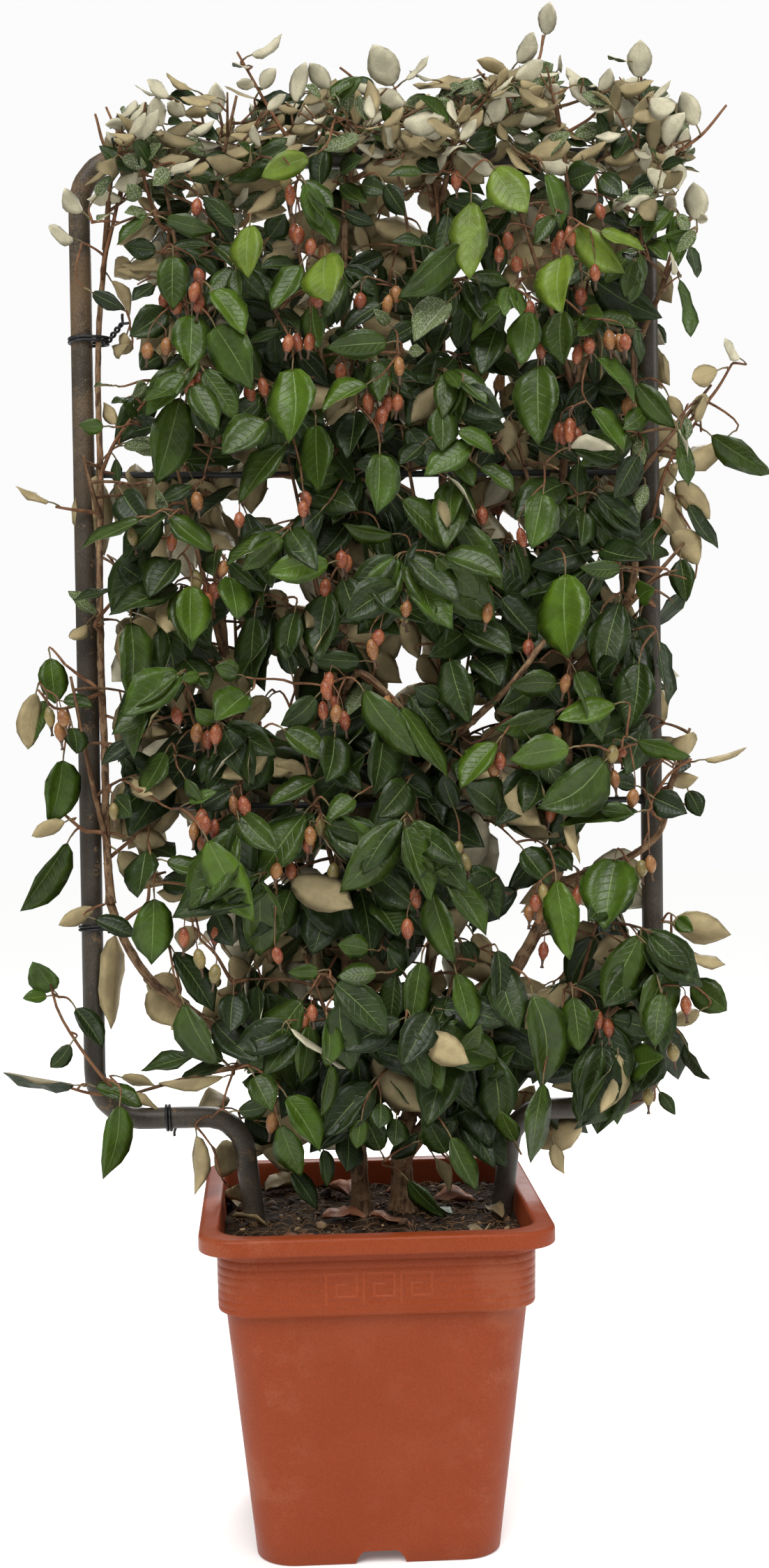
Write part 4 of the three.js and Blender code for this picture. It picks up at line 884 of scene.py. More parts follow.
def blade_effect(wiring, entry):
    """A leaf's blade along its own map: midrib, side ribs, margin and puckers."""
    place = wiring.object_place()
    split = wiring.node("SeparateXYZ", {0: wiring.surface_place()})
    out = wiring.times(wiring.math("ABSOLUTE", wiring.math("SUBTRACT", split[1], 0.5)), 2.0)
    rib_width = wiring.times_plus(split[0], -0.04, 0.06)
    beside = wiring.smooth(wiring.math("DIVIDE", out, rib_width), 0.35, 1.0)
    rib = wiring.math("SUBTRACT", 1.0, beside)
    lines = wiring.times_plus(out, -2.1, wiring.times(split[0], 9.0))
    teeth = wiring.math("ABSOLUTE", wiring.math("SUBTRACT", wiring.math("FRACT", lines), 0.5))
    side = wiring.times(wiring.smooth(teeth, 0.40, 0.5), wiring.smooth(out, 0.9, 0.3))
    margin = wiring.smooth(out, 0.93, 0.99)
    clouds = wiring.smooth(wiring.noise(place, 38.0, 2.0), 0.36, 0.64)
    specks = wiring.smooth(wiring.noise(place, 1100.0, 1.0), 0.52, 0.62)
    colour = wiring.mix(clouds, entry["Blade"], entry["Deep"])
    for mask, share, layer in ((side, "Side Share", "Rib"), (margin, "Margin Share", "Rib"),
                               (rib, "Rib Share", "Rib"), (specks, "Speckle Share", "Speckle")):
        colour = wiring.mix(wiring.times(mask, entry[share]), colour, entry[layer])
    pucker = wiring.noise(place, 150.0, 2.0)
    height = wiring.times_plus(rib, -0.5, wiring.times_plus(side, -0.45, pucker))
    return {"Colour": colour, "Height": height, "Fine": pucker}


def bark_effect(wiring, entry):
    """Bark along the limb's own map: long fissures, flaking patches and pale breathing pores."""
    place = wiring.surface_place()
    long = wiring.node("Mapping", {0: place, 3: (260.0, 42.0, 1.0)})[0]
    wide = wiring.node("Mapping", {0: place, 3: (150.0, 420.0, 1.0)})[0]
    strands = wiring.noise(long, 1.0, 4.0, 0.62)
    flakes = wiring.smooth(wiring.noise(wiring.object_place(), 95.0, 4.0), 0.47, 0.6)
    pores = wiring.smooth(wiring.noise(wide, 1.0, 1.0), 0.66, 0.74)
    colour = wiring.mix(wiring.smooth(strands, 0.38, 0.6), entry["Fissure"], entry["Ground"])
    colour = wiring.mix(wiring.times(flakes, entry["Flake Share"]), colour, entry["Flake"])
    colour = wiring.mix(wiring.times(pores, 0.55), colour, entry["Flake"])
    height = wiring.times_plus(pores, 0.3, wiring.times_plus(flakes, 0.35, strands))
    return {"Colour": colour, "Height": height}


def grime_effect(wiring, entry):
    """A mask of dust or rust: broken clouds with a grainy edge."""
    place = wiring.object_place()
    clouds = wiring.noise(place, entry["Scale"], 5.0, 0.62)
    grain = wiring.noise(place, 620.0, 2.0)
    edge = wiring.times_plus(wiring.math("SUBTRACT", grain, 0.5), entry["Grain"], clouds)
    return {"Mask": wiring.smooth(edge, entry["From"], entry["To"]), "Grain": grain}


EFFECTS = {
    "Mottle": (mottle_effect, {
        "First": (0.5, 0.5, 0.5, 1), "Second": (0.4, 0.4, 0.4, 1),
        "Scale": 30.0, "Fine Scale": 300.0, "Fine Share": 0.15,
    }),
    "Leaf Blade": (blade_effect, {
        "Blade": (0.1, 0.2, 0.05, 1), "Deep": (0.05, 0.1, 0.03, 1), "Rib": (0.4, 0.5, 0.2, 1),
        "Rib Share": 0.7, "Side Share": 0.2, "Margin Share": 0.4,
        "Speckle": (0.3, 0.2, 0.1, 1), "Speckle Share": 0.0,
    }),
    "Bark": (bark_effect, {
        "Ground": (0.2, 0.15, 0.1, 1), "Fissure": (0.06, 0.04, 0.03, 1),
        "Flake": (0.3, 0.25, 0.2, 1), "Flake Share": 0.6,
    }),
    "Grime": (grime_effect, {"Scale": 12.0, "From": 0.5, "To": 0.62, "Grain": 0.25}),
}


def effect(name):
    """The shared node group of that name, built with its named inputs and outputs when it is
    first asked for. Only the output called Colour is a colour."""
    if name in bpy.data.node_groups:
        return bpy.data.node_groups[name]
    build, inputs = EFFECTS[name]
    tree = bpy.data.node_groups.new(name, "ShaderNodeTree")

    def socket(label, way, is_colour):
        kind = "NodeSocketColor" if is_colour else "NodeSocketFloat"
        return tree.interface.new_socket(label, in_out=way, socket_type=kind)

    for label, value in inputs.items():
        socket(label, "INPUT", isinstance(value, tuple)).default_value = value
    outputs = build(Wiring(tree), tree.nodes.new("NodeGroupInput").outputs)
    for label in outputs:
        socket(label, "OUTPUT", label == "Colour")
    leave = tree.nodes.new("NodeGroupOutput").inputs
    for label, value in outputs.items():
        tree.links.new(value, leave[label])
    return tree


class Finish(Wiring):
    """A material with one Principled shader and constants on the shader's own sockets."""

    def __init__(self, name, **constants):
        self.material = bpy.data.materials.new(name)
        self.material.use_nodes = True
        super().__init__(self.material.node_tree)
        self.shader = self.tree.nodes["Principled BSDF"].inputs
        for key, value in constants.items():
            self.shader[key.replace("_", " ")].default_value = value

    def varied(self, value, low, high):
        """A roughness that follows a value from low to high."""
        return self.smooth(value, 0.3, 0.7, low, high)

    def dressed(self, colour, height, strength, distance, roughness=None):
        """The material with its colour, its bump and, where it changes, its roughness."""
        self.tree.links.new(colour, self.shader["Base Color"])
        if roughness is not None:
            self.tree.links.new(roughness, self.shader["Roughness"])
        bump = self.node("Bump", {"Height": height, "Strength": strength, "Distance": distance})
        self.tree.links.new(bump[0], self.shader["Normal"])
        return self.material


def pot_finish(name, colour):
    """Moulded plastic: faint flow clouds, a fine matt grain and dusty smears near the corners."""
    finish = Finish(name, Specular_IOR_Level=0.2)
    base = linear(colour)
    mottle = finish.mottle(base, shade(base, 1.04, 0.003), 14.0, 700.0, 0.16)
    grime = finish.group("Grime", {"Scale": 17.0, "From": 0.5, "To": 0.66, "Grain": 0.3})
    axes = finish.node("SeparateXYZ", {0: finish.object_place()})
    beside = finish.smooth(finish.math("ABSOLUTE", axes[0]), 0.05, 0.125, 0.05, 0.22)
    dust = finish.times(grime["Mask"], beside)
    return finish.dressed(finish.mix(dust, mottle["Colour"], rgb(168, 108, 80)), mottle["Fine"],
                          0.12, 0.0004, finish.varied(mottle["Clouds"], 0.40, 0.5))


def soil_finish(name, first, second):
    """Moist compost: dark clouds, paler crumbs and a rough grain."""
    finish = Finish(name, Roughness=0.92, Specular_IOR_Level=0.1)
    mottle = finish.mottle(first, second, 70.0, 420.0, 0.6)
    return finish.dressed(mottle["Colour"], mottle["Fine"], 0.8, 0.002)


def steel_finish(name, colour, rust):
    """Dark painted tube with a faint sheen, dust and rust that has come through in patches."""
    finish = Finish(name, Specular_IOR_Level=0.35)
    base = linear(colour)
    mottle = finish.mottle(base, shade(base, 1.5, 0.004), 24.0, 500.0, 0.3)
    specks = finish.group("Grime", {"Scale": 55.0, "From": 0.62, "To": 0.68, "Grain": 0.4})
    coat = finish.group("Grime", {"Scale": 14.0, "From": 0.36, "To": 0.62, "Grain": 0.5})
    axes = finish.node("SeparateXYZ", {0: finish.object_place()})
    left, high = finish.smooth(axes[0], 0.0, -0.2), finish.smooth(axes[2], 0.9, 1.32)
    film = finish.times(finish.times(left, high), coat["Mask"])
    specked = finish.times(specks["Mask"], finish.times_plus(left, 0.75, 0.1))
    worn = finish.math("MAXIMUM", finish.times(film, 0.85), specked)
    rusty = finish.mix(finish.smooth(coat["Grain"], 0.4, 0.6), linear(rust), rgb(116, 94, 68))
    return finish.dressed(finish.mix(worn, mottle["Colour"], rusty),
                          finish.times_plus(worn, 0.5, coat["Grain"]), 0.3, 0.0006,
                          finish.times_plus(worn, 0.35, 0.42))


def plain_finish(name, colour, roughness, scale=60.0):
    """One colour with faint clouds and grain, for small parts."""
    finish = Finish(name, Roughness=roughness)
    mottle = finish.mottle(colour, shade(colour, 0.62), scale, 700.0, 0.2)
    return finish.dressed(mottle["Colour"], mottle["Fine"], 0.15, 0.0005)


def bark_finish(name, ground, fissure, flake, flake_share, strength):
    """Bark in its own three colours, with its fissures as a bump."""
    finish = Finish(name, Roughness=0.82, Specular_IOR_Level=0.2)
    bark = finish.group("Bark", {"Ground": ground, "Fissure": fissure, "Flake": flake,
                                 "Flake Share": flake_share})
    return finish.dressed(bark["Colour"], bark["Height"], strength, 0.0012)


def leaf_finish(name, blade, rib, roughness, side_share=0.12, speckle=None, speckle_share=0.0,
                bump=0.45, gloss=0.34):
    """A leaf's face: blade colour in clouds, ribs and margin, with its own gloss and puckers."""
    finish = Finish(name, Specular_IOR_Level=gloss)
    leaf = finish.group("Leaf Blade", {
        "Blade": blade, "Deep": shade(blade, 0.68), "Rib": rib, "Rib Share": 0.6,
        "Side Share": side_share, "Margin Share": 0.25, "Speckle": speckle or rib,
        "Speckle Share": speckle_share,
    })
    return finish.dressed(leaf["Colour"], leaf["Height"], bump, 0.0016,
                          finish.varied(leaf["Fine"], roughness, roughness + 0.14))


def fruit_finish(name, first, second, speckle):
    """Fruit skin: two ripening colours in clouds under small silvery and brown scales."""
    finish = Finish(name, Roughness=0.4)
    mottle = finish.mottle(first, second, 75.0, 1200.0, 0.12)
    dots = finish.node("TexVoronoi", {"Vector": finish.object_place(), "Scale": 620.0})
    scales = finish.smooth(dots["Distance"], 0.34, 0.2)
    colour = finish.mix(finish.times(scales, 0.6), mottle["Colour"], speckle)
    return finish.dressed(colour, scales, 0.2, 0.0004)


# Frame lines

def frame_line(spacing):
    """The middle of the bent tube, from the left leg's foot over the top to the right leg's."""
    def at(half, height):
        return FRAME_CENTRE - half, 0, height

    def leg(height):
        return at(LEG_HALF + LEG_LEAN * (height - SOIL_TOP), height)

    left = [leg(LEG_FOOT), leg(FRAME_RAIL), at(FRAME_HALF, FRAME_RAIL), at(FRAME_HALF, FRAME_TOP)]
    right = [(2 * FRAME_CENTRE - x, y, z) for x, y, z in reversed(left)]
    return bent_line(left + right, (LEG_CORNER,) + (FRAME_CORNER,) * 4 + (LEG_CORNER,), spacing)


# Growth

CELL = 5
FIELD_LOW = np.array([-400, 300])
FIELD_CELLS = (168, 256)
OPENING_EDGE = 1.15
SPREAD_ALONG = np.array([0.06, 0.2, 0.36, 0.52, 0.68, 0.84, 0.97])
SPREAD_ACROSS = np.array([-0.88, -0.44, 0, 0.44, 0.88])
GOLDEN_ANGLE = math.pi * (3 - math.sqrt(5))
MOST_WOOD = 40000
# Where leaves and twigs keep to: least and greatest x, y and z, the least heights over the pot's
# inside, over its rim and beside it, and gaps to the frame
LEAF_LOW, LEAF_HIGH = (-374, -126, 0), (418, 156, 1545)
TWIG_FRONT, TWIG_BACK = -112, 140
POT_REACH = (140, 186)
LEAF_FLOORS = np.array([324, 348, 200])
TWIG_FLOORS = (350, 300)
TUBE_REACH, LEAF_GAP, TWIG_GAP, ROD_GAP = 15, 14, 13, 7
MOST_CLOSED, MOST_SHOWN = 1, 9
LEAF_SLIM, LEAF_STOUT = 0.46, 0.58
MIDDLE_DEPTH = 4
CREST_RISE = 0.4
FILL_TRIES = 12
HOLE_TRIES = 8
# Kinds of leaf that show: depth, tone, and another tone with the share of leaves that take it
# Bright, sunlit, dark and deep are lit and shaded copies of one green: painted light and shade.
SHOW_KINDS = {
    "bright": (-100, BRIGHT, SUNLIT, 0.75), "green": (-82, GREEN, FRESH, 0.3),
    "dark": (-60, DARK, DEEP, 0.4), "silver": (-28, GREEN, GREEN, 0),
    "shaded": (-4, DARK, DARK, 0), "young": (-74, YOUNG, YOUNG, 0),
}


def inside_outline(x, z, outline):
    """Whether points lie inside a closed outline, by counting the edges to one side of them."""
    inside = np.zeros(np.broadcast(x, z).shape, bool)
    corners = np.asarray(outline, float)
    for (x0, z0), (x1, z1) in zip(corners, np.roll(corners, -1, 0)):
        if z1 != z0:
            inside ^= ((z0 > z) != (z1 > z)) & (x < (x1 - x0) * (z - z0) / (z1 - z0) + x0)
    return inside


def closed_fields():
    """Cells of the frame's plane where leaves that fill the crown don't go: first for those in
    front of the frame, which leave its seen parts open too, then for those behind."""
    x = FIELD_LOW[0] + CELL * (np.arange(FIELD_CELLS[0])[:, None] + 0.5)
    z = FIELD_LOW[1] + CELL * (np.arange(FIELD_CELLS[1])[None] + 0.5)
    closed = ~inside_outline(x, z, CROWN_OUTLINE)
    for middle_x, middle_z, half_x, half_z in OPENINGS:
        away = ((x - middle_x) / half_x) ** 2 + ((z - middle_z) / half_z) ** 2
        closed |= away < OPENING_EDGE
    before = closed.copy()
    for left, right, low, high in SEEN_FRAME:
        before |= (x > left) & (x < right) & (z > low) & (z < high)
    return np.stack([before, closed])


def distance_to_line(points, line):
    """The least distance from each point to the straight runs of a line."""
    points = np.asarray(points, float)[..., None, :]
    start, run = line[:-1], np.diff(line, axis=0)
    share = ((points - start) * run).sum(-1) / (run ** 2).sum(-1)
    nearest = start + np.clip(share, 0, 1)[..., None] * run
    return np.linalg.norm(points - nearest, axis=-1).min(-1)


def footprint(root, along, face, length, width):
    """Points spread over leaves, thirty-five to each."""
    length, width = np.asarray(length, float), np.asarray(width, float)
    side = unit(np.cross(along, face))
    fullness = LEAF_FULLNESS + LEAF_POINT * SPREAD_ALONG
    half = width[..., None] / 2 * np.sin(math.pi * SPREAD_ALONG ** 0.92) ** fullness
    run = (along * length[..., None])[..., None, None, :] * SPREAD_ALONG[:, None, None]
    aside = side[..., None, None, :] * (half[..., None] * SPREAD_ACROSS)[..., None]
    points = root[..., None, None, :] + run + aside
    return points.reshape(points.shape[:-3] + (-1, 3))


def cells(points):
    """The cell of the frame's plane in which each point shows."""
    return tuple(np.clip(((value - low) // CELL).astype(int), 0, count - 1)
                 for value, low, count in zip(on_plane(points), FIELD_LOW, FIELD_CELLS))


def curved(foot, heading, length, rise):
    """A twig that leaves along its heading and bends down, or up where leaves rise."""
    t = np.linspace(0, 1, 6)[:, None]
    sag = np.array([0, 0, (0.5 * rise - 0.22) * length])
    return foot + heading * length * t + sag * t ** 2


def columns(rows):
    """One array for each key of a list of like rows."""
    return {key: np.array([row[key] for row in rows]) for key in rows[0]}


class Crown:
    """Everything that grows on the boughs, drawn in one seeded order."""

    def __init__(self, seed, shortest, longest):
        self.draw = np.random.default_rng(seed)
        self.shortest, self.longest = shortest, longest
        self.wood, self.woods = np.zeros((MOST_WOOD, 3)), 0
        self.shoots, self.stalks, self.leaves, self.fruits = [], [], [], []
        self.taken = np.zeros((2,) + FIELD_CELLS)
        self.shown = np.zeros(FIELD_CELLS, bool)
        self.closed = closed_fields()
        self.tube = frame_line(60)
        self.grow()

    def grow(self):
        """Grows stems and spurs, then what shows in front, then leaves in the open places."""
        for points, _ in BOUGHS.values():
            self.add_wood(smooth_line(points, 12)[1:])
        carriers = self.grow_masses()
        spurs = self.grow_spurs()
        self.grow_show_shoots()
        self.grow_show_leaves()
        self.grow_show_fruits()
        crest = [carrier for carrier in carriers if carrier[1] > CREST_RISE]
        for group, shares, least in (
            (carriers, (1.0, 0.55), 15), (spurs, (1.0, 0.5), 15), (carriers, (0.8, 0.3), 13),
            (carriers, (0.95, 0.7), 10), (crest, (1.0, 0.85, 0.6, 0.4, 0.2), 6),
        ):
            for path, rise, young in group:
                for share in shares:
                    node = path[int(share * (len(path) - 1) + 0.5)]
                    self.fill_leaf(node, unit(path[-1] - path[0]), rise, young, least)
        self.fill_holes(150, 9)
        self.hang_back_fruits(carriers)

    def jitter(self, amount):
        """A draw between minus and plus an amount."""
        return self.draw.uniform(-amount, amount)

    def add_wood(self, points):
        self.wood[self.woods:self.woods + len(points)] = points
        self.woods += len(points)

    def add_shoot(self, path, foot_radius, tip_radius, kind):
        """A shoot along a path, tapering from foot to tip."""
        self.shoots.append((path, np.linspace(foot_radius, tip_radius, len(path)), kind))
        self.add_wood(path[1:])

    def reach_for(self, end, heading, bend=0.35):
        """A curved path from the nearest wood to an end that it meets along the heading: a cubic
        line with its middle points a share of its length from both ends."""
        wood = self.wood[:self.woods]
        gap = end - wood
        distance = np.linalg.norm(gap, axis=1)
        agree = (gap @ heading) / np.maximum(distance, 1)
        foot = wood[(distance * (1.6 - 0.6 * agree)).argmin()]
        length = np.linalg.norm(end - foot)
        leave = foot + (end - foot) * bend + np.array([0, 0, 0.12 * length])
        meet = end - heading * length * bend
        t = np.linspace(0, 1, 6)[:, None]
        return ((1 - t) ** 3 * foot + 3 * t * (1 - t) ** 2 * leave + 3 * t ** 2 * (1 - t) * meet
                + t ** 3 * end)

    def clear(self, path):
        """Whether a twig keeps inside the crown, above the pot and off the tube."""
        x, y, z = path.T
        low = np.where(np.maximum(np.abs(x), np.abs(y)) < POT_REACH[1], *TWIG_FLOORS)
        if y.min() < TWIG_FRONT or y.max() > TWIG_BACK or (z < low).any():
            return False
        i, j = cells(path[-1:])
        off_tube = distance_to_line(path, self.tube).min() > TWIG_GAP
        return off_tube and not self.closed[1, i, j].any()

    def grow_masses(self):
        """Each mass: a stem from its bough that steps out to its own side of the frame and runs
        to its tip, with side twigs that turn round it by the golden angle and finer twigs on
        them. Gives the stretches of twig that carry filling leaves."""
        carriers = []
        for bough, height, tip, rise, young in MASSES.values():
            line = smooth_line(BOUGHS[bough][0], 5)
            foot = line[min(np.searchsorted(line[:, 2], height), len(line) - 1)]
            tip = np.array(tip, float)
            knee = foot + (tip - foot) * 0.4
            knee[1] = tip[1]
            stem = spread_line([foot, knee, tip], 1, 14)
            self.add_shoot(stem, 3.6, 1.5, TWIG)
            carriers.append((stem[3:], rise, young))
            carriers += self.grow_side_twigs(stem, rise, young)
        return carriers

    def grow_side_twigs(self, stem, rise, young):
        """Side twigs of one stem and two finer twigs on each, more of them on the crest."""
        grown = []
        turn = self.draw.uniform(0, TURN)
        extra = (0.58, 0.7, 0.8, 0.9) * (rise > CREST_RISE)
        for share in (0.3, 0.42, 0.53, 0.64, 0.75, 0.85, 0.94) + extra:
            k = min(int(share * len(stem)), len(stem) - 2)
            tangent = unit(stem[k + 1] - stem[k])
            turn += GOLDEN_ANGLE + self.jitter(0.4)
            out = np.array([1.2 * math.cos(turn), math.sin(turn), self.jitter(0.6) + rise * 0.5])
            heading = unit(out + tangent * 0.3)
            twig = curved(stem[k], heading, self.draw.uniform(34, 76), rise)
            if not self.clear(twig):
                continue
            self.add_shoot(twig, 1.9, 1.1, TWIG)
            grown.append((twig[2:], rise, young))
            for _ in range(2):
                foot = twig[self.draw.integers(2, 5)]
                finer = curved(foot, unit(heading + self.draw.normal(0, 0.7, 3)),
                               self.draw.uniform(18, 38), rise)
                if self.clear(finer):
                    self.add_shoot(finer, 1.2, 0.8, YOUNG_TWIG)
                    grown.append((finer[2:], rise, young))
        return grown

    def grow_spurs(self):
        """Short spurs along every bough, turned by the golden angle."""
        carriers = []
        for points, _ in BOUGHS.values():
            line = smooth_line(points, 4)
            turn = self.draw.uniform(0, TURN)
            for k in range(16, len(line) - 2, 8):
                turn += GOLDEN_ANGLE
                heading = unit(np.array([math.cos(turn), math.sin(turn), self.jitter(0.4)]))
                spur = curved(line[k] + heading * 3, heading, self.draw.uniform(12, 30), 0.2)
                if self.clear(spur):
                    self.add_shoot(spur, 1.7, 1.0, TWIG)
                    carriers.append((spur[3:], 0.1, 0.12))
        return carriers

    def leaf_shape(self, length, width, hang, point=LEAF_POINT):
        """The draws that make one leaf differ from the next, and how pointed its tip is."""
        draw = self.draw
        return {
            "length": length, "width": width, "skew": draw.uniform(0.84, 1.0),
            "phase": draw.uniform(0, TURN), "wave": draw.uniform(0.016, 0.048),
            "droop": draw.uniform(0.02, 0.24) * (1 if hang else 0.5),
            "fold": draw.uniform(0.0, 0.55), "twist": draw.normal(0, 0.28),
            "bow": draw.normal(0, 0.035), "point": point,
        }

    def add_leaf(self, node, root, along, face, shape, tone, under):
        """Adds a leaf and its petiole from the twig, and marks the cells that it covers."""
        path = np.array([node, (node + root) / 2 + np.array([0, 0, 0.8]), root, root + along * 3])
        self.stalks.append((path, np.array([1.1, 0.85, 0.8, 0.3]), LEAF_STALK))
        self.leaves.append({"root": root, "along": along, "face": face, "tone": tone,
                            "under": under, **shape})
        i, j = cells(footprint(root, along, face, shape["length"], shape["width"]))
        self.taken[0 if root[1] < MIDDLE_DEPTH else 1][i, j] += 1

    def room(self, root, along, face, length, width):
        """How much of each leaf would show, or less than nothing where it may not go."""
        points = footprint(root, along, face, length, width)
        x, y, z = np.moveaxis(points, -1, 0)
        beside = np.maximum(np.abs(x), np.abs(y))
        floor = LEAF_FLOORS[np.searchsorted(POT_REACH, beside, side="right")]
        i, j = cells(points)
        layer = np.where(root[..., 1] < MIDDLE_DEPTH, 0, 1)[..., None]
        bad = (points < LEAF_LOW).any((-1, -2)) | (points > LEAF_HIGH).any((-1, -2))
        bad |= (z < floor).any(-1) | (self.closed[layer, i, j].sum(-1) > MOST_CLOSED)
        bad |= (layer[..., 0] == 0) & (self.shown[i, j].sum(-1) > MOST_SHOWN)
        close = (np.abs(y) < TUBE_REACH).any(-1) & ~bad
        if close.any():
            bad[close] |= distance_to_line(points[close], self.tube).min(-1) < LEAF_GAP
        for height in ROD_HEIGHTS:
            bad |= np.hypot(y, z - height).min(-1) < ROD_GAP
        taken = self.taken[layer, i, j]
        return np.where(bad, -1, (taken == 0).sum(-1) + 0.3 * (taken == 1).sum(-1))

    def tone_at(self, root):
        """Dark leaves low down and inside, greener ones above and outside, by the spray."""
        # Painted shade inside the crown and low down, painted light outside and high up.
        outward = abs(root[1]) / 130 + (root[2] - 900) / 2200 + self.draw.normal(0, 0.16)
        order = np.searchsorted((0.30, 0.62, 0.95), outward, side="right")
        return (DEEP, DARK, GREEN, FRESH)[order]

    def fill_leaf(self, node, heading, rise, young, least):
        """Of a few seeded tries, the leaf with the most open place, if it has enough."""
        draw, tries, crest = self.draw, FILL_TRIES, rise > CREST_RISE
        small = draw.random(tries) < young
        grown = float(np.clip((1580 - node[2]) / 620, 0.62, 1.0))
        length = draw.uniform(self.shortest, self.longest, tries) * grown
        length = length * np.where(small, 0.62, 1) * (0.84 if crest else 1)
        width = length * draw.uniform(LEAF_SLIM, LEAF_STOUT, tries)
        out = draw.uniform(-1, 1, (tries, 3)) * (1.3, 0.7, 0.6) + (0, 0, -0.9 + 1.8 * rise)
        along = unit(heading * draw.uniform(0.1, 0.7, (tries, 1)) + out)
        root = node + unit(along + heading * 0.6) * draw.uniform(7, 11, (tries, 1))
        middle = root[:, 1] + along[:, 1] * length * 0.45
        outward = np.where(middle < MIDDLE_DEPTH, -1.0, 1.0)
        turned = draw.random(tries) < np.where(outward > 0, 0.08, 0.05) + 0.66 * crest
        sideways = draw.random(tries) < np.where(node[1] < -24, 0.15, 0.5)
        aside = draw.uniform(-0.5, 0.5, tries)
        aside = np.where(sideways, 5 * np.abs(aside) * np.sign(node[0] - 20), aside)
        facing = np.stack([aside, outward, draw.uniform(0, 0.8, tries)], -1)
        face = across(facing * np.where(turned, -1, 1)[:, None], along)
        open_share = self.room(root, along, face, length, width)
        k = int(open_share.argmax())
        if open_share[k] < least:
            return
        dusty = draw.random() < 0.5
        tone = YOUNG if dusty and (small[k] or crest) else self.tone_at(root[k])
        # Shares of silver, shaded and dusky undersides; the darker two are painted shade.
        shares = (0.35, 0.45, 0.2) if crest else (0, 0.4, 0.6) if turned[k] else (0.3, 0.5, 0.2)
        shape = self.leaf_shape(length[k], width[k], rise < 0.5, 0.15 if crest else LEAF_POINT)
        under = int(draw.choice(len(UNDERSIDES), p=shares))
        self.add_leaf(node, root[k], along[k], face[k], shape, tone, under)

    def fill_holes(self, times, least):
        """Leaves where nothing covers the crown's plane yet, each on a twig from the nearest
        wood."""
        draw, tries = self.draw, HOLE_TRIES
        for _ in range(times):
            holes = np.argwhere((self.taken.sum(0) == 0) & ~self.closed[1])
            if len(holes) == 0:
                return
            x, z = FIELD_LOW + CELL * (holes[draw.integers(len(holes))] + 0.5)
            depth = self.jitter(44)
            middle = towards_eye(x, z, depth)
            length = draw.uniform(0.62, 1.0, tries) * self.longest * 0.92
            width = length * draw.uniform(LEAF_SLIM, LEAF_STOUT, tries)
            along = unit(draw.uniform(-1, 1, (tries, 3)) * (1.2, 0.4, 0.7) + (0, 0, -0.5))
            outward = np.full(tries, -1.0 if depth < MIDDLE_DEPTH else 1.0)
            facing = np.stack([draw.uniform(-0.7, 0.7, tries), outward,
                               draw.uniform(0, 0.7, tries)], -1)
            turned = draw.random(tries) < 0.3
            face = across(facing * np.where(turned, -1, 1)[:, None], along)
            root = middle - along * length[:, None] * draw.uniform(0.35, 0.6, (tries, 1))
            open_share = self.room(root, along, face, length, width)
            k = int(open_share.argmax())
            path = self.reach_for(root[k] - along[k] * 9, along[k])
            if open_share[k] < least or np.linalg.norm(path[-1] - path[0]) > 90:
                continue
            self.add_shoot(path, 1.4, 0.9, YOUNG_TWIG)
            shape, tone = self.leaf_shape(length[k], width[k], True), self.tone_at(root[k])
            # Mostly shaded and dusky undersides, darker copies of silver: painted shade.
            under = int(draw.choice(len(UNDERSIDES), p=(0.1, 0.5, 0.4)))
            self.add_leaf(path[-1], root[k], along[k], face[k], shape, tone, under)

    def grow_show_shoots(self):
        """The shoots that show, each joined to the nearest wood."""
        for plan in SHOW_SHOOTS:
            x, z = np.array(plan, float).T
            depth = -24 + self.jitter(14) + np.linspace(0, self.jitter(16), len(plan))
            points = towards_eye(x, z, depth)
            tie = self.reach_for(points[0], unit(points[1] - points[0]))
            line = spread_line(np.vstack([tie[:-1:2], points]), 1, 14)
            self.add_shoot(line, 2.4, 1.3, YOUNG_TWIG)

    def place_show_leaf(self, kind, x, z, reach_x, reach_z, wide):
        """A leaf that shows, set at the depth of its kind and tipped towards the eye as far as
        its foreshortening tells."""
        top = z > 1395 or x > 318 or x < -270
        depth = (-30 if top and kind != "bright" else SHOW_KINDS[kind][0]) + self.jitter(12)
        seen = math.hypot(reach_x, reach_z)
        length = min(max(seen * 1.04, wide / 0.62, self.shortest * 0.5), self.longest)
        away = math.sqrt(max(length ** 2 - seen ** 2, 0)) * (-1 if kind != "shaded" else 1)
        root = towards_eye(x, z, depth)
        run = towards_eye(x + reach_x, z + reach_z, depth + 0.8 * away) - root
        along = unit(run)
        width = max(wide * 1.1, LEAF_SLIM * length)
        slant = math.acos(min(1, wide / width)) * self.draw.choice([-1, 1])
        toward = -1 if kind in ("bright", "green", "dark", "young") else 1
        facing = np.array([self.jitter(0.15), toward, 0.18 * -toward + self.jitter(0.1)])
        face = across(facing, along)
        face = face * math.cos(slant) + np.cross(along, face) * math.sin(slant)
        return root, along, face, np.linalg.norm(run), width, kind, top

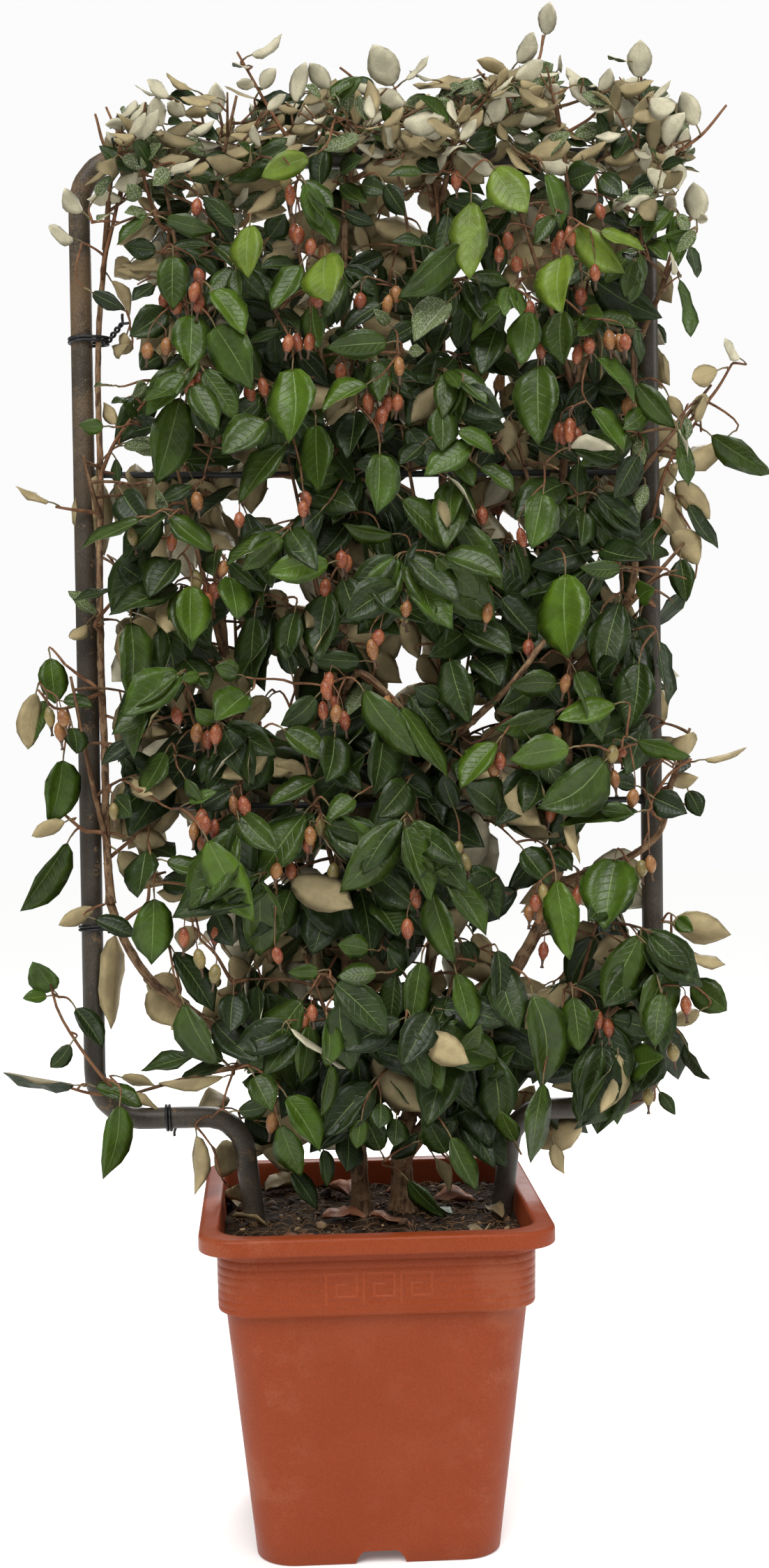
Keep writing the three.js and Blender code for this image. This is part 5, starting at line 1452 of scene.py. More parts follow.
    def grow_show_leaves(self):
        """The leaves that show, each joined to the nearest wood by a twig, nearest first."""
        waiting = [self.place_show_leaf(kind, *row)
                   for kind, rows in SHOW_LEAVES.items() for row in rows]
        roots = np.array([row[0] - row[1] * 10 for row in waiting])
        wood = self.wood[:self.woods]
        gaps = np.array([np.linalg.norm(wood - at, axis=1).min() for at in roots])
        for _ in waiting:
            k, old = int(gaps.argmin()), self.woods
            root, along, face, length, width, kind, top = waiting[k]
            path = self.reach_for(roots[k], along)
            self.add_shoot(path, 1.5, 1.0, YOUNG_TWIG)
            _, tone, other, share = SHOW_KINDS[kind]
            # Painted light: bright leaves high up mostly take the lighter sunlit copy.
            if share and (kind != "bright" or root[2] > 1270) and self.draw.random() < share:
                tone = other
            # Painted shade: darker underside copies, and the lit silver one only high up.
            under = SHADED if kind == "shaded" else DUSKY
            if kind in ("silver", "young"):
                under = SILVER if root[2] > 1180 else SHADED
            fresh = self.wood[old:self.woods]
            nearer = np.minimum(gaps, np.linalg.norm(roots[:, None] - fresh, axis=2).min(1))
            gaps = np.where(np.isinf(gaps), gaps, nearer)
            gaps[k] = np.inf
            shape = self.leaf_shape(length, width, kind != "bright", 0.12 if top else LEAF_POINT)
            self.add_leaf(path[-1], root, along, face, shape, tone, under)
            self.shown[cells(footprint(root, along, face, length, width))] = True

    def grow_show_fruits(self):
        """The fruits that show, which keep filling leaves from in front of them."""
        for kind, rows in SHOW_FRUIT.items():
            for x, z in rows:
                top = towards_eye(x, z + 9, -78 + self.jitter(16))
                self.hang_fruit(top, RIPE if kind == "ripe" else UNRIPE)
                reach = np.linspace(-4, 18, 7)[:, None, None] * (0, 0, -1)
                beside = np.linspace(-5, 5, 3)[:, None] * (1, 0, 0)
                self.shown[cells(top + reach + beside)] = True

    def hang_back_fruits(self, carriers):
        """Fruit on the twigs that the front doesn't show."""
        behind = [path for path, rise, _ in carriers if path[-1][1] > 16 and rise < 0.5]
        for path in behind[::3]:
            for _ in range(int(self.draw.integers(1, 3))):
                shift = np.array([self.jitter(7), self.jitter(6), -14 + self.jitter(5)])
                self.hang_fruit(path[-1] + shift, RIPE)

    def hang_fruit(self, top, tone):
        """A fruit that hangs from the nearest wood, on a twig of its own where that is far."""
        down = unit(np.array([self.jitter(0.25), self.jitter(0.2), -1]))
        path = self.reach_for(top - down * 4, np.array([0, 0, -1.0]), 0.3)
        far = np.linalg.norm(path[0] - path[-1]) > 22
        if far:
            self.add_shoot(path[:4], 1.3, 0.9, YOUNG_TWIG)
        stalk = np.array([*path[[3, 4, 5] if far else [0, 2, 4]], top + down * 2])
        self.stalks.append((stalk, np.array([0.75, 0.6, 0.6, 0.8]), FRUIT_STALK))
        self.fruits.append({
            "root": top, "down": down, "length": self.draw.uniform(17.5, 22.5),
            "radius": self.draw.uniform(5.4, 6.9),
            "tone": tone if self.draw.random() < 0.72 else TURNING,
        })


@functools.lru_cache(maxsize=1)
def crown(seed, shortest, longest):
    """The crown for a seed and leaf lengths, grown once for all its pieces."""
    return Crown(seed, shortest, longest)


def planned_crown():
    """The crown of the plan in the present scene."""
    plan = bpy.context.scene.silverberry
    return crown(plan.seed, plan.leaf_shortest / MM, plan.leaf_longest / MM)


# Pot and soil

CORNER_STEPS, SIDE_STEPS = 9, 12
BAND_FOOT, BAND_END = 260, 311
KEY_SIZE, KEY_PITCH, KEY_BAR, KEY_FOOT = 29.5, 36.0, 3.2, 267.0
POT_CREASE, KEY_CREASE = 38, 25
KEY_LINE = np.array([(0, 0), (0, 1), (1, 1), (1, 0.22), (0.34, 0.22), (0.34, 0.62), (0.68, 0.62)])
NOTCH = np.array([(-26, -4), (26, -4), (23.5, 5), (18.5, 11.6), (15, 13), (-15, 13),
                  (-18.5, 11.6), (-23.5, 5)])
NOTCH_REACH = (79, 170)


def square_ring():
    """Directions of a square's rounded outline: each ring point is the corner's middle plus the
    corner radius, with straight sides between the arcs."""
    def corner(k):
        diagonal = (k + 0.5) * TURN / 4
        return np.array([math.cos(diagonal), math.sin(diagonal)]) * math.sqrt(2)

    middles, outs = [], []
    share = np.linspace(0, 1, SIDE_STEPS + 1, endpoint=False)[1:, None]
    for k in range(4):
        turn = (k + np.linspace(0, 1, CORNER_STEPS)) * TURN / 4
        middles += [np.tile(corner(k), (CORNER_STEPS, 1)),
                    corner(k) + (corner(k + 1) - corner(k)) * share]
        arc = np.stack([np.cos(turn), np.sin(turn)], -1)
        outs += [arc, np.tile(arc[-1], (SIDE_STEPS, 1))]
    return np.concatenate(middles), np.concatenate(outs)


def square_rows(profile):
    """Rings through a profile of half widths, corner radii and heights."""
    middles, outs = square_ring()
    half, corner, height = np.asarray(profile, float).T[..., None, None]
    flat = middles * (half - corner) + outs * corner
    return np.concatenate([flat, np.broadcast_to(height, flat.shape[:2] + (1,))], -1)


def add_body(surface, rows, mapped=True):
    """A closed body through rings of points, its first and last closed by fans to their
    middles, with places on the surface if it is mapped."""
    count, around = rows.shape[:2]
    faces, places = grid_faces(count, around)
    ends = np.stack([rows[0].mean(0), rows[-1].mean(0)])
    start = surface.add_points(np.concatenate([rows.reshape(-1, 3), ends]))
    surface.add_faces(faces + start, 0, places if mapped else None)
    surface.add_faces(np.concatenate(end_fans(count, around)) + start)


def inner_half(height):
    """Half the width of the pot's inside."""
    return np.interp(height, (POT_FLOOR, POT_TOP), (117, 152.5))


def band_half(height):
    """Half the width of the pot over its upper band, which widens upwards."""
    return 154.6 + (height - 258) / 60


def pot_profile(plan):
    """The pot's section from its underside over the rim to its floor."""
    outer = [(117, 0), (120, 0.5)]
    outer += [(121 + 26 * t, 2 + 248 * t) for t in np.linspace(0, 1, 12)]
    outer += [(147.5, 252.2), (149.4, 253.6), (152.6, 255), (154.1, 256.2), (154.6, 258)]
    for foot in np.arange(BAND_FOOT, BAND_END, plan.groove_pitch / MM):
        half = band_half(foot)
        bottom = half - plan.groove_depth / MM
        outer += [(half, foot), (bottom, foot + 0.7), (bottom, foot + 1.5), (half, foot + 2.2)]
    outer += [(155.5, 314), (156.2, 315.6), (158.6, 316.8), (169.6, 317.6), (171.5, 318.1),
              (172.3, 319), (172.5, 320.2), (172.5, 330.6), (172.2, 332.6), (171.2, 334.1),
              (169.6, 334.9), (168, 335)]
    inner = [(156.4, 34, 335), (154, 33, 334.6), (152.7, POT_INNER_CORNER, 333.4),
             (152.3, POT_INNER_CORNER, 331.2)]
    inner += [(inner_half(z), POT_INNER_CORNER, z) for z in (322, 300, 240, 160, 80, 22)]
    inner += [(113, POT_INNER_CORNER - 2, 16.6), (106, POT_INNER_CORNER - 4, 16)]
    return [(half, POT_CORNER, height) for half, height in outer] + inner


def notch_cutters():
    """Four prisms, wide at the floor and narrower above, that open the foot of each side."""
    surface = Surface()
    for k in range(4):
        turn = k * TURN / 4
        out = np.array([math.sin(turn), -math.cos(turn), 0])
        aside = np.array([math.cos(turn), math.sin(turn), 0])
        ring = NOTCH[:, :1] * aside + NOTCH[:, 1:] * np.array([0, 0, 1])
        add_body(surface, np.stack([ring + out * reach for reach in NOTCH_REACH]), False)
    return surface.piece("notch_cutters", [])


def add_key_band(surface, lift):
    """Raised key squares on the band: each is a flat bar, as thick as the relief is deep, along
    every run of its winding line."""
    for side in range(4):
        for k in (-1, 0, 1):
            line = KEY_LINE * KEY_SIZE + np.array([k * KEY_PITCH - KEY_SIZE / 2, KEY_FOOT])
            for order, ends in enumerate(zip(line, line[1:])):
                low, high = np.min(ends, 0) - KEY_BAR / 2, np.max(ends, 0) + KEY_BAR / 2
                add_bar(surface, low, high, lift + 0.03 * order, side * TURN / 4)


def add_bar(surface, low, high, lift, turn):
    """A flat bar on the band's face with sloping sides: an outer ring in the wall and a smaller
    ring lifted in front of it."""
    ring = []
    for inset, out in ((0, -0.6), (0.1, 0.02), (0.9, lift)):
        (x0, z0), (x1, z1) = low + inset, high - inset
        corners = ((x0, z0), (x1, z0), (x1, z1), (x0, z1))
        ring += [(x, -(band_half(z) + out), z) for x, z in corners]
    x, y, z = np.array(ring).T
    c, s = math.cos(turn), math.sin(turn)
    start = surface.add_points(np.stack([x * c - y * s, x * s + y * c, z], -1))
    ends = [(8, 9, 10, 11), (3, 2, 1, 0)]
    surface.add_faces(np.concatenate([grid_faces(3, 4)[0], ends]) + start)


def cut(obj, cutter):
    """The object less the cutter, kept in its own mesh."""
    modifier = obj.modifiers.new("cut", "BOOLEAN")
    modifier.object = cutter
    modifier.operation = "DIFFERENCE"
    modifier.solver = "EXACT"
    whole = bpy.context.evaluated_depsgraph_get()
    mesh = bpy.data.meshes.new_from_object(obj.evaluated_get(whole))
    obj.modifiers.clear()
    obj.data = mesh
    bpy.data.objects.remove(cutter)


def soil_height(points):
    """The compost's surface: long swells, crumbs, a hollow at the wall and a rise at the stems."""
    flat = points * (1, 1, 0)
    edge = np.maximum(np.abs(flat[..., 0]), np.abs(flat[..., 1]))
    swell = 2.6 * rough(flat, 70, 3) + 1.5 * rough(flat, 21, 4) + 1.0 * rough(flat, 7.5, 5)
    heart = 5 * np.exp(-((flat[..., 0] - 12) ** 2 + (flat[..., 1] - 6) ** 2) / 60 ** 2)
    return SOIL_TOP - 0.5 + swell + heart - 3.5 * np.clip((edge - 128) / 22, 0, 1) ** 2


# Finished pieces

FOLIAGE = ["foliage_" + name for name in MASSES]


def settle(obj, slot, *nodes):
    """Rides on the one body and stands for its solids, which it hides; the slot is not used."""
    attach(obj, "root")
    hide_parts(*nodes)


class Plan(bpy.types.PropertyGroup):
    """Sizes and colours of the potted espalier that a user would change."""
    seed: IntProperty(
        name="Growth Seed", description="Number that the growth is drawn from", default=7)
    leaf_shortest: FloatProperty(
        name="Shortest Leaf", description="Length of the shortest grown blade",
        default=0.058, unit="LENGTH")
    leaf_longest: FloatProperty(
        name="Longest Leaf", description="Length of the longest grown blade",
        default=0.092, unit="LENGTH")
    groove_pitch: FloatProperty(
        name="Groove Pitch", description="Height from one groove of the pot's band to the next",
        default=0.008, unit="LENGTH")
    groove_depth: FloatProperty(
        name="Groove Depth", description="Depth of the grooves in the pot's band",
        default=0.00025, unit="LENGTH")
    relief: FloatProperty(
        name="Relief", description="How far the key squares stand out of the pot's band",
        default=0.0004, unit="LENGTH")
    tube_radius: FloatProperty(
        name="Tube Radius", description="Outer radius of the bent frame tube",
        default=0.011, unit="LENGTH")
    rod_radius: FloatProperty(
        name="Rod Radius", description="Radius of the cross rods",
        default=0.00325, unit="LENGTH")
    wire_radius: FloatProperty(
        name="Wire Radius", description="Radius of the coated tie wire",
        default=0.0016, unit="LENGTH")
    chips: IntProperty(name="Chips", description="Number of chips on the compost", default=520)
    pot_colour: FloatVectorProperty(
        name="Pot", description="Colour of the pot's plastic", subtype="COLOR_GAMMA",
        size=3, min=0, max=1, default=(0.54, 0.225, 0.085))
    steel_colour: FloatVectorProperty(
        name="Tube", description="Colour of the painted tube", subtype="COLOR_GAMMA",
        size=3, min=0, max=1, default=(0.225, 0.20, 0.165))
    rust_colour: FloatVectorProperty(
        name="Rust", description="Colour of the rust on the tube", subtype="COLOR_GAMMA",
        size=3, min=0, max=1, default=(0.43, 0.34, 0.235))
    leaf_colour: FloatVectorProperty(
        name="Leaf", description="Colour of a full-grown leaf's upper face", subtype="COLOR_GAMMA",
        size=3, min=0, max=1, default=(0.198, 0.275, 0.07))
    underside_colour: FloatVectorProperty(
        name="Underside", description="Colour of a leaf's scaly underside", subtype="COLOR_GAMMA",
        size=3, min=0, max=1, default=(0.80, 0.775, 0.665))
    fruit_colour: FloatVectorProperty(
        name="Fruit", description="Colour of ripe fruit", subtype="COLOR_GAMMA",
        size=3, min=0, max=1, default=(0.59, 0.325, 0.19))


class SILVERBERRY_OT_pot(bpy.types.Operator):
    """Build the square pot with its rolled rim, grooved band, key squares and notched foot"""
    bl_idname = "silverberry.pot"
    bl_label = "Pot"

    def execute(self, context):
        plan = context.scene.silverberry
        surface = Surface()
        add_body(surface, square_rows(pot_profile(plan)))
        finish = pot_finish("pot_plastic", plan.pot_colour)
        # Lighter copy of the pot's colour for the key squares: a painted highlight on their
        # relief.
        worn = pot_finish("pot_plastic_highlight", [value * 1.03 + 0.012 for value in plan.pot_colour])
        pot = surface.piece("square_pot", [finish])
        cut(pot, notch_cutters())
        pot.data.shade_smooth()
        pot.data.set_sharp_from_angle(angle=math.radians(POT_CREASE))
        keys = Surface()
        add_key_band(keys, plan.relief / MM)
        relief = keys.piece("pot_key_squares", [worn], KEY_CREASE)
        settle(pot, "pot", "pot")
        settle(relief, "pot")
        return {"FINISHED"}


class SILVERBERRY_OT_soil(bpy.types.Operator):
    """Build the compost that fills the pot"""
    bl_idname = "silverberry.soil"
    bl_label = "Compost"

    def execute(self, context):
        rings = [(inner_half(POT_FLOOR) - 0.6, POT_INNER_CORNER, POT_FLOOR + 0.4)]
        rings += [(inner_half(z) - 0.4, POT_INNER_CORNER, z) for z in (120, 220, 300)]
        sides = len(rings)
        rings += [((inner_half(SOIL_TOP) - 0.4) * share, POT_INNER_CORNER * share, SOIL_TOP)
                  for share in 1 - (np.arange(46) / 46) ** 1.05]
        rows = square_rows(rings)
        rows[sides:, :, 2] = soil_height(rows[sides:])
        surface = Surface()
        add_body(surface, rows)
        finish = soil_finish("compost_dark", rgb(31, 22, 14), rgb(60, 43, 28))
        settle(surface.piece("compost", [finish]), "soil", "soil")
        return {"FINISHED"}


CHIP_KINDS = [BARK_CHIP] * 6 + [ROOT_FIBRE] * 2 + [BROWN_CHIP] * 3 + [PALE_CHIP]
CHIP_REACH = 146
FIBRES = 520
FIBRE_START, FIBRE_REACH = 140, 147
FIBRE_RADIUS = 0.36
# Fallen leaves: x, y, turn, length, width, fold and finish
FALLEN_LEAVES = [
    (-52, -34, 0.22, 50, 24, 0.5, DRY), (-3, -22, -0.62, 56, 24, 0.4, DRY),
    (-144, 4, -0.5, 44, 24, 0.6, PALE_DRY), (-138, 44, 1.9, 40, 26, 0.9, PALE_DRY),
    (132, -44, 1.9, 40, 18, 0.9, PALE_DRY), (112, 40, 2.7, 56, 28, 0.7, DRY),
    (20, 92, -0.6, 54, 28, 0.6, DRY), (-110, 104, 0.4, 58, 30, 0.8, PALE_DRY),
    (46, 34, -1.0, 74, 32, 0.3, FALLEN_GREEN), (-96, -104, 0.1, 48, 22, 0.9, DRY),
    (98, -112, 1.2, 46, 22, 1.0, PALE_DRY), (-20, 64, 2.0, 52, 26, 0.9, DRY),
]


class SILVERBERRY_OT_litter(bpy.types.Operator):
    """Strew chips, fibres and fallen leaves over the compost"""
    bl_idname = "silverberry.litter"
    bl_label = "Litter"

    def execute(self, context):
        plan = context.scene.silverberry
        draw = np.random.default_rng(plan.seed + 40)
        surface = Surface()
        places = draw.uniform(-CHIP_REACH, CHIP_REACH, (plan.chips, 2))
        places = np.pad(places, ((0, 0), (0, 1)))
        size = draw.lognormal(0.75, 0.5, plan.chips)[:, None] * np.array([1.5, 1.0, 0.6])
        size = np.clip(size, 0.5, 7)
        places[:, 2] = soil_height(places) + size[:, 2] * 0.35
        slots = draw.choice(CHIP_KINDS, plan.chips)
        add_chips(surface, places, size, plan.seed + 41, slots)
        paths = self.fibres(draw)
        add_tubes(surface, paths, np.full(paths.shape[:2], FIBRE_RADIUS), 4, ROOT_FIBRE)
        litter = surface.piece("compost_litter", [
            plain_finish("bark_chip", rgb(46, 31, 19), 0.9),
            plain_finish("root_fibre", rgb(116, 84, 50), 0.85),
            plain_finish("pale_chip", rgb(150, 122, 88), 0.85),
            plain_finish("brown_chip", rgb(82, 55, 33), 0.9),
        ])
        settle(litter, "soil")
        settle(self.fallen(draw), "leaf")
        return {"FINISHED"}

    def fibres(self, draw):
        """Thin fibres that lie on the compost, each a gently curved line of six points."""
        start = draw.uniform(-FIBRE_START, FIBRE_START, (FIBRES, 1, 2))
        bend = np.linspace(-0.5, 0.5, 6)
        turn = draw.uniform(0, TURN, (FIBRES, 1)) + bend * draw.normal(0, 1.6, (FIBRES, 1))
        step = draw.uniform(2, 7, (FIBRES, 1, 1))
        flat = start + np.cumsum(np.stack([np.cos(turn), np.sin(turn)], -1) * step, 1)
        paths = np.pad(np.clip(flat, -FIBRE_REACH, FIBRE_REACH), ((0, 0), (0, 0), (0, 1)))
        arch = np.sin(np.linspace(0, math.pi, 6)) * draw.uniform(0, 6, (FIBRES, 1))
        paths[..., 2] = soil_height(paths) + 0.3 + arch
        return paths

    def fallen(self, draw):
        """Fallen leaves: dry and curled on the compost, and a green one by the right stem."""
        x, y, turn, length, width, fold, slot = np.array(FALLEN_LEAVES, float).T
        count, slots = len(x), slot.astype(int)
        root = np.stack([x, y, 0 * x], -1)
        root[:, 2] = soil_height(root) + 4
        along = np.stack([np.cos(turn), np.sin(turn), draw.normal(0, 0.08, count)], -1)
        leaves = {
            "root": root, "along": along, "face": np.tile((0.0, 0.0, 1.0), (count, 1)),
            "length": length, "width": width, "fold": fold, "skew": np.full(count, 0.92),
            "phase": draw.uniform(0, TURN, count), "wave": np.full(count, 0.05),
            "droop": draw.uniform(-0.05, 0.12, count), "twist": draw.normal(0, 0.4, count),
            "bow": draw.normal(0, 0.05, count), "point": np.full(count, LEAF_POINT),
        }
        surface = Surface()
        add_leaves(surface, leaves, slots, slots)
        return surface.piece("fallen_leaves", [
            leaf_finish("dry_leaf", rgb(134, 84, 56), rgb(160, 118, 84), 0.6),
            leaf_finish("fallen_green", rgb(44, 66, 32), rgb(96, 116, 66), 0.45),
            leaf_finish("pale_dry_leaf", rgb(132, 112, 76), rgb(150, 132, 96), 0.6),
        ])


TUBE_SIDES, ROD_SIDES, WIRE_SIDES, TRUNK_SIDES, BOUGH_SIDES, LIMB_SIDES = 28, 14, 8, 26, 18, 14


class SILVERBERRY_OT_frame_tube(bpy.types.Operator):
    """Bend the frame's one tube, with the faint creases of its bends"""
    bl_idname = "silverberry.frame_tube"
    bl_label = "Bent Tube"

    def execute(self, context):
        plan = context.scene.silverberry
        line = frame_line(6)
        turning = np.linalg.norm(np.gradient(unit(np.gradient(line, axis=0)), axis=0), axis=1)
        crease = -0.35 * (turning / turning.max()) * np.sin(np.arange(len(line)) * 1.9)
        skin = 0.10 * rough(line, 60, 12)
        surface = Surface()
        add_tube(surface, line, plan.tube_radius / MM, TUBE_SIDES, (crease + skin)[:, None])
        finish = steel_finish("painted_tube", plan.steel_colour, plan.rust_colour)
        settle(surface.piece("bent_tube", [finish]), "steel",
               "frame_left_foot", "frame_left_upright", "frame_top",
               "frame_right_upright", "frame_right_foot")
        return {"FINISHED"}


class SILVERBERRY_OT_frame_rods(bpy.types.Operator):
    """Weld the two cross rods between the uprights"""
    bl_idname = "silverberry.frame_rods"
    bl_label = "Cross Rods"

    def execute(self, context):
        plan = context.scene.silverberry
        surface = Surface()
        reach = FRAME_HALF - plan.tube_radius / MM + 1
        share = np.linspace(-1, 1, 90)
        weld = np.exp(-((1 - np.abs(share)) * reach / 4.5) ** 2)[:, None]
        for order, height in enumerate(ROD_HEIGHTS):
            sag = height + 0.8 * share ** 2 - 0.8
            line = np.stack([FRAME_CENTRE + share * reach, 0 * share, sag], -1)
            spots = line[:, None] + 3 * np.arange(ROD_SIDES)[:, None] * np.array([0, 1, 1])
            blob = weld * (2.4 + 0.7 * rough(spots, 7, 31 + order))
            add_tube(surface, line, plan.rod_radius / MM, ROD_SIDES, blob)
        rods = surface.piece("cross_rods", [plain_finish("rod_paint", rgb(44, 45, 46), 0.5, 40.0)])
        settle(rods, "steel", "frame_rod_1", "frame_rod_2")
        return {"FINISHED"}


class SILVERBERRY_OT_ties(bpy.types.Operator):
    """Twist the coated wire ties round the tube and its limbs"""
    bl_idname = "silverberry.ties"
    bl_label = "Wire Ties"

    def execute(self, context):
        plan = context.scene.silverberry
        wire = plan.wire_radius / MM
        radius = plan.tube_radius / MM + wire
        left, right = FRAME_CENTRE - FRAME_HALF, FRAME_CENTRE + FRAME_HALF
        x, y, z = np.eye(3)
        surface = Surface()
        for centre, first, second, stretch, tail in (
            ((left, 0, 1212), x, y, 14, (18, -8, 20)),
            ((-206, 0, FRAME_RAIL), y, z, 0, (10, -6, -14)),
            ((-147, 0, FRAME_TOP), y, z, 0, (8, -8, 12)),
            ((right, 0, 1328), -x, y, 12, (16, -12, 8)),
            ((left, 0, 616), x, y, 8, (-10, -10, 4)),
        ):
            self.add_loop(surface, centre, first, second, stretch, radius, wire)
            root = centre + first * (radius + stretch)
            self.add_tail(surface, root, np.array(tail, float), wire)
        finish = plain_finish("coated_wire", rgb(22, 22, 24), 0.45, 90.0)
        settle(surface.piece("wire_ties", [finish]), "tie", "tie_left_upright", "tie_bottom_rail")
        return {"FINISHED"}

    def add_loop(self, surface, centre, first, second, stretch, radius, wire):
        """Two and a bit turns round the tube, drawn out on one side round the limb, climbing
        along the tube by a wire's width a turn."""
        turn = np.linspace(-0.6, 2 * TURN + 0.6, 84)
        cosine = np.cos(turn)[:, None]
        out = np.where(cosine > 0, stretch, 0) * first * cosine
        climb = (turn / TURN - 1)[:, None] * np.cross(first, second) * wire * 2.1
        ring = radius * (first * cosine + second * np.sin(turn)[:, None])
        add_tube(surface, centre + ring + out + climb, wire, WIRE_SIDES)

    def add_tail(self, surface, root, tail, wire):
        """The tie's ends, twisted round each other and spread at their tips."""
        way = unit(tail)
        one = across(np.array([0.2, 0.3, 1.0]), way)
        two = np.cross(way, one)
        t = np.linspace(0, 1, 26)[:, None]
        spin = t * TURN * 2.2
        for phase in (0, math.pi):
            twist = one * np.cos(spin + phase) + two * np.sin(spin + phase)
            strand = root + tail * t + 1.15 * wire * twist
            strand = strand + t ** 6 * 7 * (one * math.cos(phase) + way * 0.3)
            add_tube(surface, strand, wire * 0.9, WIRE_SIDES)


class SILVERBERRY_OT_limbs(bpy.types.Operator):
    """Grow the trunks and boughs with their bark, leaf scars and root flare"""
    bl_idname = "silverberry.limbs"
    bl_label = "Trunks and Boughs"

    def execute(self, context):
        limbs = []
        for points, radii, flare in TRUNKS.values():
            line = smooth_line(points, 2.5)
            swollen = flare * np.exp(-np.maximum(line[:, 2] - SOIL_TOP, 0) / 14)
            radius = np.linspace(*radii, len(line)) + swollen
            limbs.append((line, radius, TRUNK_SIDES, 1.1))
        for points, (foot, tip) in BOUGHS.values():
            line = smooth_line(points, 3)
            along = np.linspace(0, 1, len(line))
            collar = 0.45 * foot * np.exp(-along * len(line) * 3 / 11)
            limbs.append((line, foot + (tip - foot) * along + collar, BOUGH_SIDES, 0.55))
        for points, radii in SIDE_LIMBS:
            line = smooth_line(points, 3)
            limbs.append((line, np.linspace(*radii, len(line)), LIMB_SIDES, 0.4))
        surface = Surface()
        for seed, limb in enumerate(limbs, LIMB_SEED):
            self.add_limb(surface, *limb, seed)
        bark = bark_finish("grey_brown_bark", rgb(124, 96, 70), rgb(70, 51, 37),
                           rgb(152, 126, 96), 0.5, 0.75)
        piece = surface.piece("trunks_and_boughs", [bark])
        settle(piece, "bark", *TRUNKS, *("bough_" + name for name in BOUGHS))
        return {"FINISHED"}

    def add_limb(self, surface, line, radius, sides, depth, seed):
        """A limb: even rings on its line, swollen at leaf scars and furrowed along its length."""
        draw = np.random.default_rng(seed)
        reach = np.arange(len(line)) * np.linalg.norm(line[1] - line[0])
        scars = np.cumsum(draw.uniform(26, 46, int(reach[-1] / 26) + 1))
        swell = np.zeros((len(line), sides))
        way = np.arange(sides) / sides * TURN
        for order, stop in enumerate(scars):
            facing = 0.5 + 0.5 * np.cos(way - order * GOLDEN_ANGLE)
            swell += np.exp(-((reach - stop) / 4.5) ** 2)[:, None] * facing[None] ** 2
        turn = np.stack([np.cos(way), np.sin(way), 0 * way], -1)
        spots = turn[None] * radius[:, None, None] + reach[:, None, None] * np.array([0, 0, 0.28])
        furrow = rough(spots, 4.2, seed + 300) + 0.6 * rough(spots, 2.1, seed + 600)
        relief = swell * 0.16 * radius[:, None]
        relief = relief + depth * 0.5 * furrow * (radius / 8)[:, None] ** 0.5
        aside = [rough(line, 90, seed + shift) for shift in (900, 901)]
        wander = np.stack([*aside, 0 * reach], -1)
        add_tube(surface, line + 0.9 * wander, radius, sides, relief)


class SILVERBERRY_OT_twigs(bpy.types.Operator):
    """Grow the stems, twigs, leaf stalks and fruit stalks of the foliage"""
    bl_idname = "silverberry.twigs"
    bl_label = "Twigs"

    def execute(self, context):
        grown = planned_crown()
        surface = Surface()
        self.add_group(surface, grown.shoots, 5)
        self.add_group(surface, grown.stalks, 4)
        twigs = surface.piece("twigs", [
            bark_finish("twig_bark", rgb(108, 80, 56), rgb(74, 52, 37), rgb(142, 114, 84),
                        0.35, 0.4),
            bark_finish("young_twig", rgb(122, 84, 58), rgb(88, 60, 42), rgb(152, 116, 84),
                        0.3, 0.3),
            plain_finish("leaf_stalk", rgb(124, 108, 70), 0.6),
            plain_finish("fruit_stalk", rgb(120, 86, 60), 0.6),
        ])
        settle(twigs, "bark", *FOLIAGE)
        return {"FINISHED"}

    def add_group(self, surface, rows, sides):
        """Tubes for all the paths with the same number of points and the same kind."""
        for key in sorted({(len(path), kind) for path, _, kind in rows}):
            same = [(path, radii) for path, radii, kind in rows if (len(path), kind) == key]
            paths, radii = (np.stack(values) for values in zip(*same))
            add_tubes(surface, paths, radii, sides, key[1])


class SILVERBERRY_OT_leaves(bpy.types.Operator):
    """Unfold the leaves, green above and scaly below"""
    bl_idname = "silverberry.leaves"
    bl_label = "Leaves"

    def execute(self, context):
        plan = context.scene.silverberry
        green, scaly = np.array(plan.leaf_colour), np.array(plan.underside_colour)
        # Painted light and shade: bright and sunlit lighten the green, dark and deep darken it.
        tints = [(1.46, 1.42, 1.22), (1.08, 1.06, 1.05), (1.22, 1.22, 1.06), (0.80, 0.82, 0.88),
                 (0.62, 0.66, 0.74), (2.0, 1.74, 1.9)]
        finishes = [
            leaf_finish("leaf_" + tone, linear(np.clip(green * tint, 0, 1)), rgb(116, 138, 76),
                        0.27 + 0.02 * order)
            for order, (tone, tint) in enumerate(zip(TONES, tints))
        ]
        finishes.append(leaf_finish("leaf_young", linear(green * (1.5, 1.32, 1.7)),
                                    rgb(176, 182, 156), 0.52,
                                    speckle=rgb(196, 198, 180), speckle_share=0.5))
        # Painted shade: the shaded and dusky undersides are darker copies of the silver one.
        underside_shading = ((1.0, 1.0, 1.0), (0.83, 0.775, 0.67), (0.66, 0.62, 0.53))
        for tone, tint in zip(UNDERSIDES, underside_shading):
            finishes.append(leaf_finish("underside_" + tone, linear(scaly * tint),
                                        linear(scaly * tint * 0.9), 0.56, side_share=0.5,
                                        speckle=rgb(136, 116, 80), speckle_share=0.25,
                                        bump=0.3, gloss=0.2))
        rows = planned_crown().leaves
        for name, half in (("leaves_a", rows[::2]), ("leaves_b", rows[1::2])):
            surface = Surface()
            leaves = columns(half)
            add_leaves(surface, leaves, leaves["tone"], len(TONES) + leaves["under"])
            settle(surface.piece(name, finishes), "leaf", *FOLIAGE)
        return {"FINISHED"}


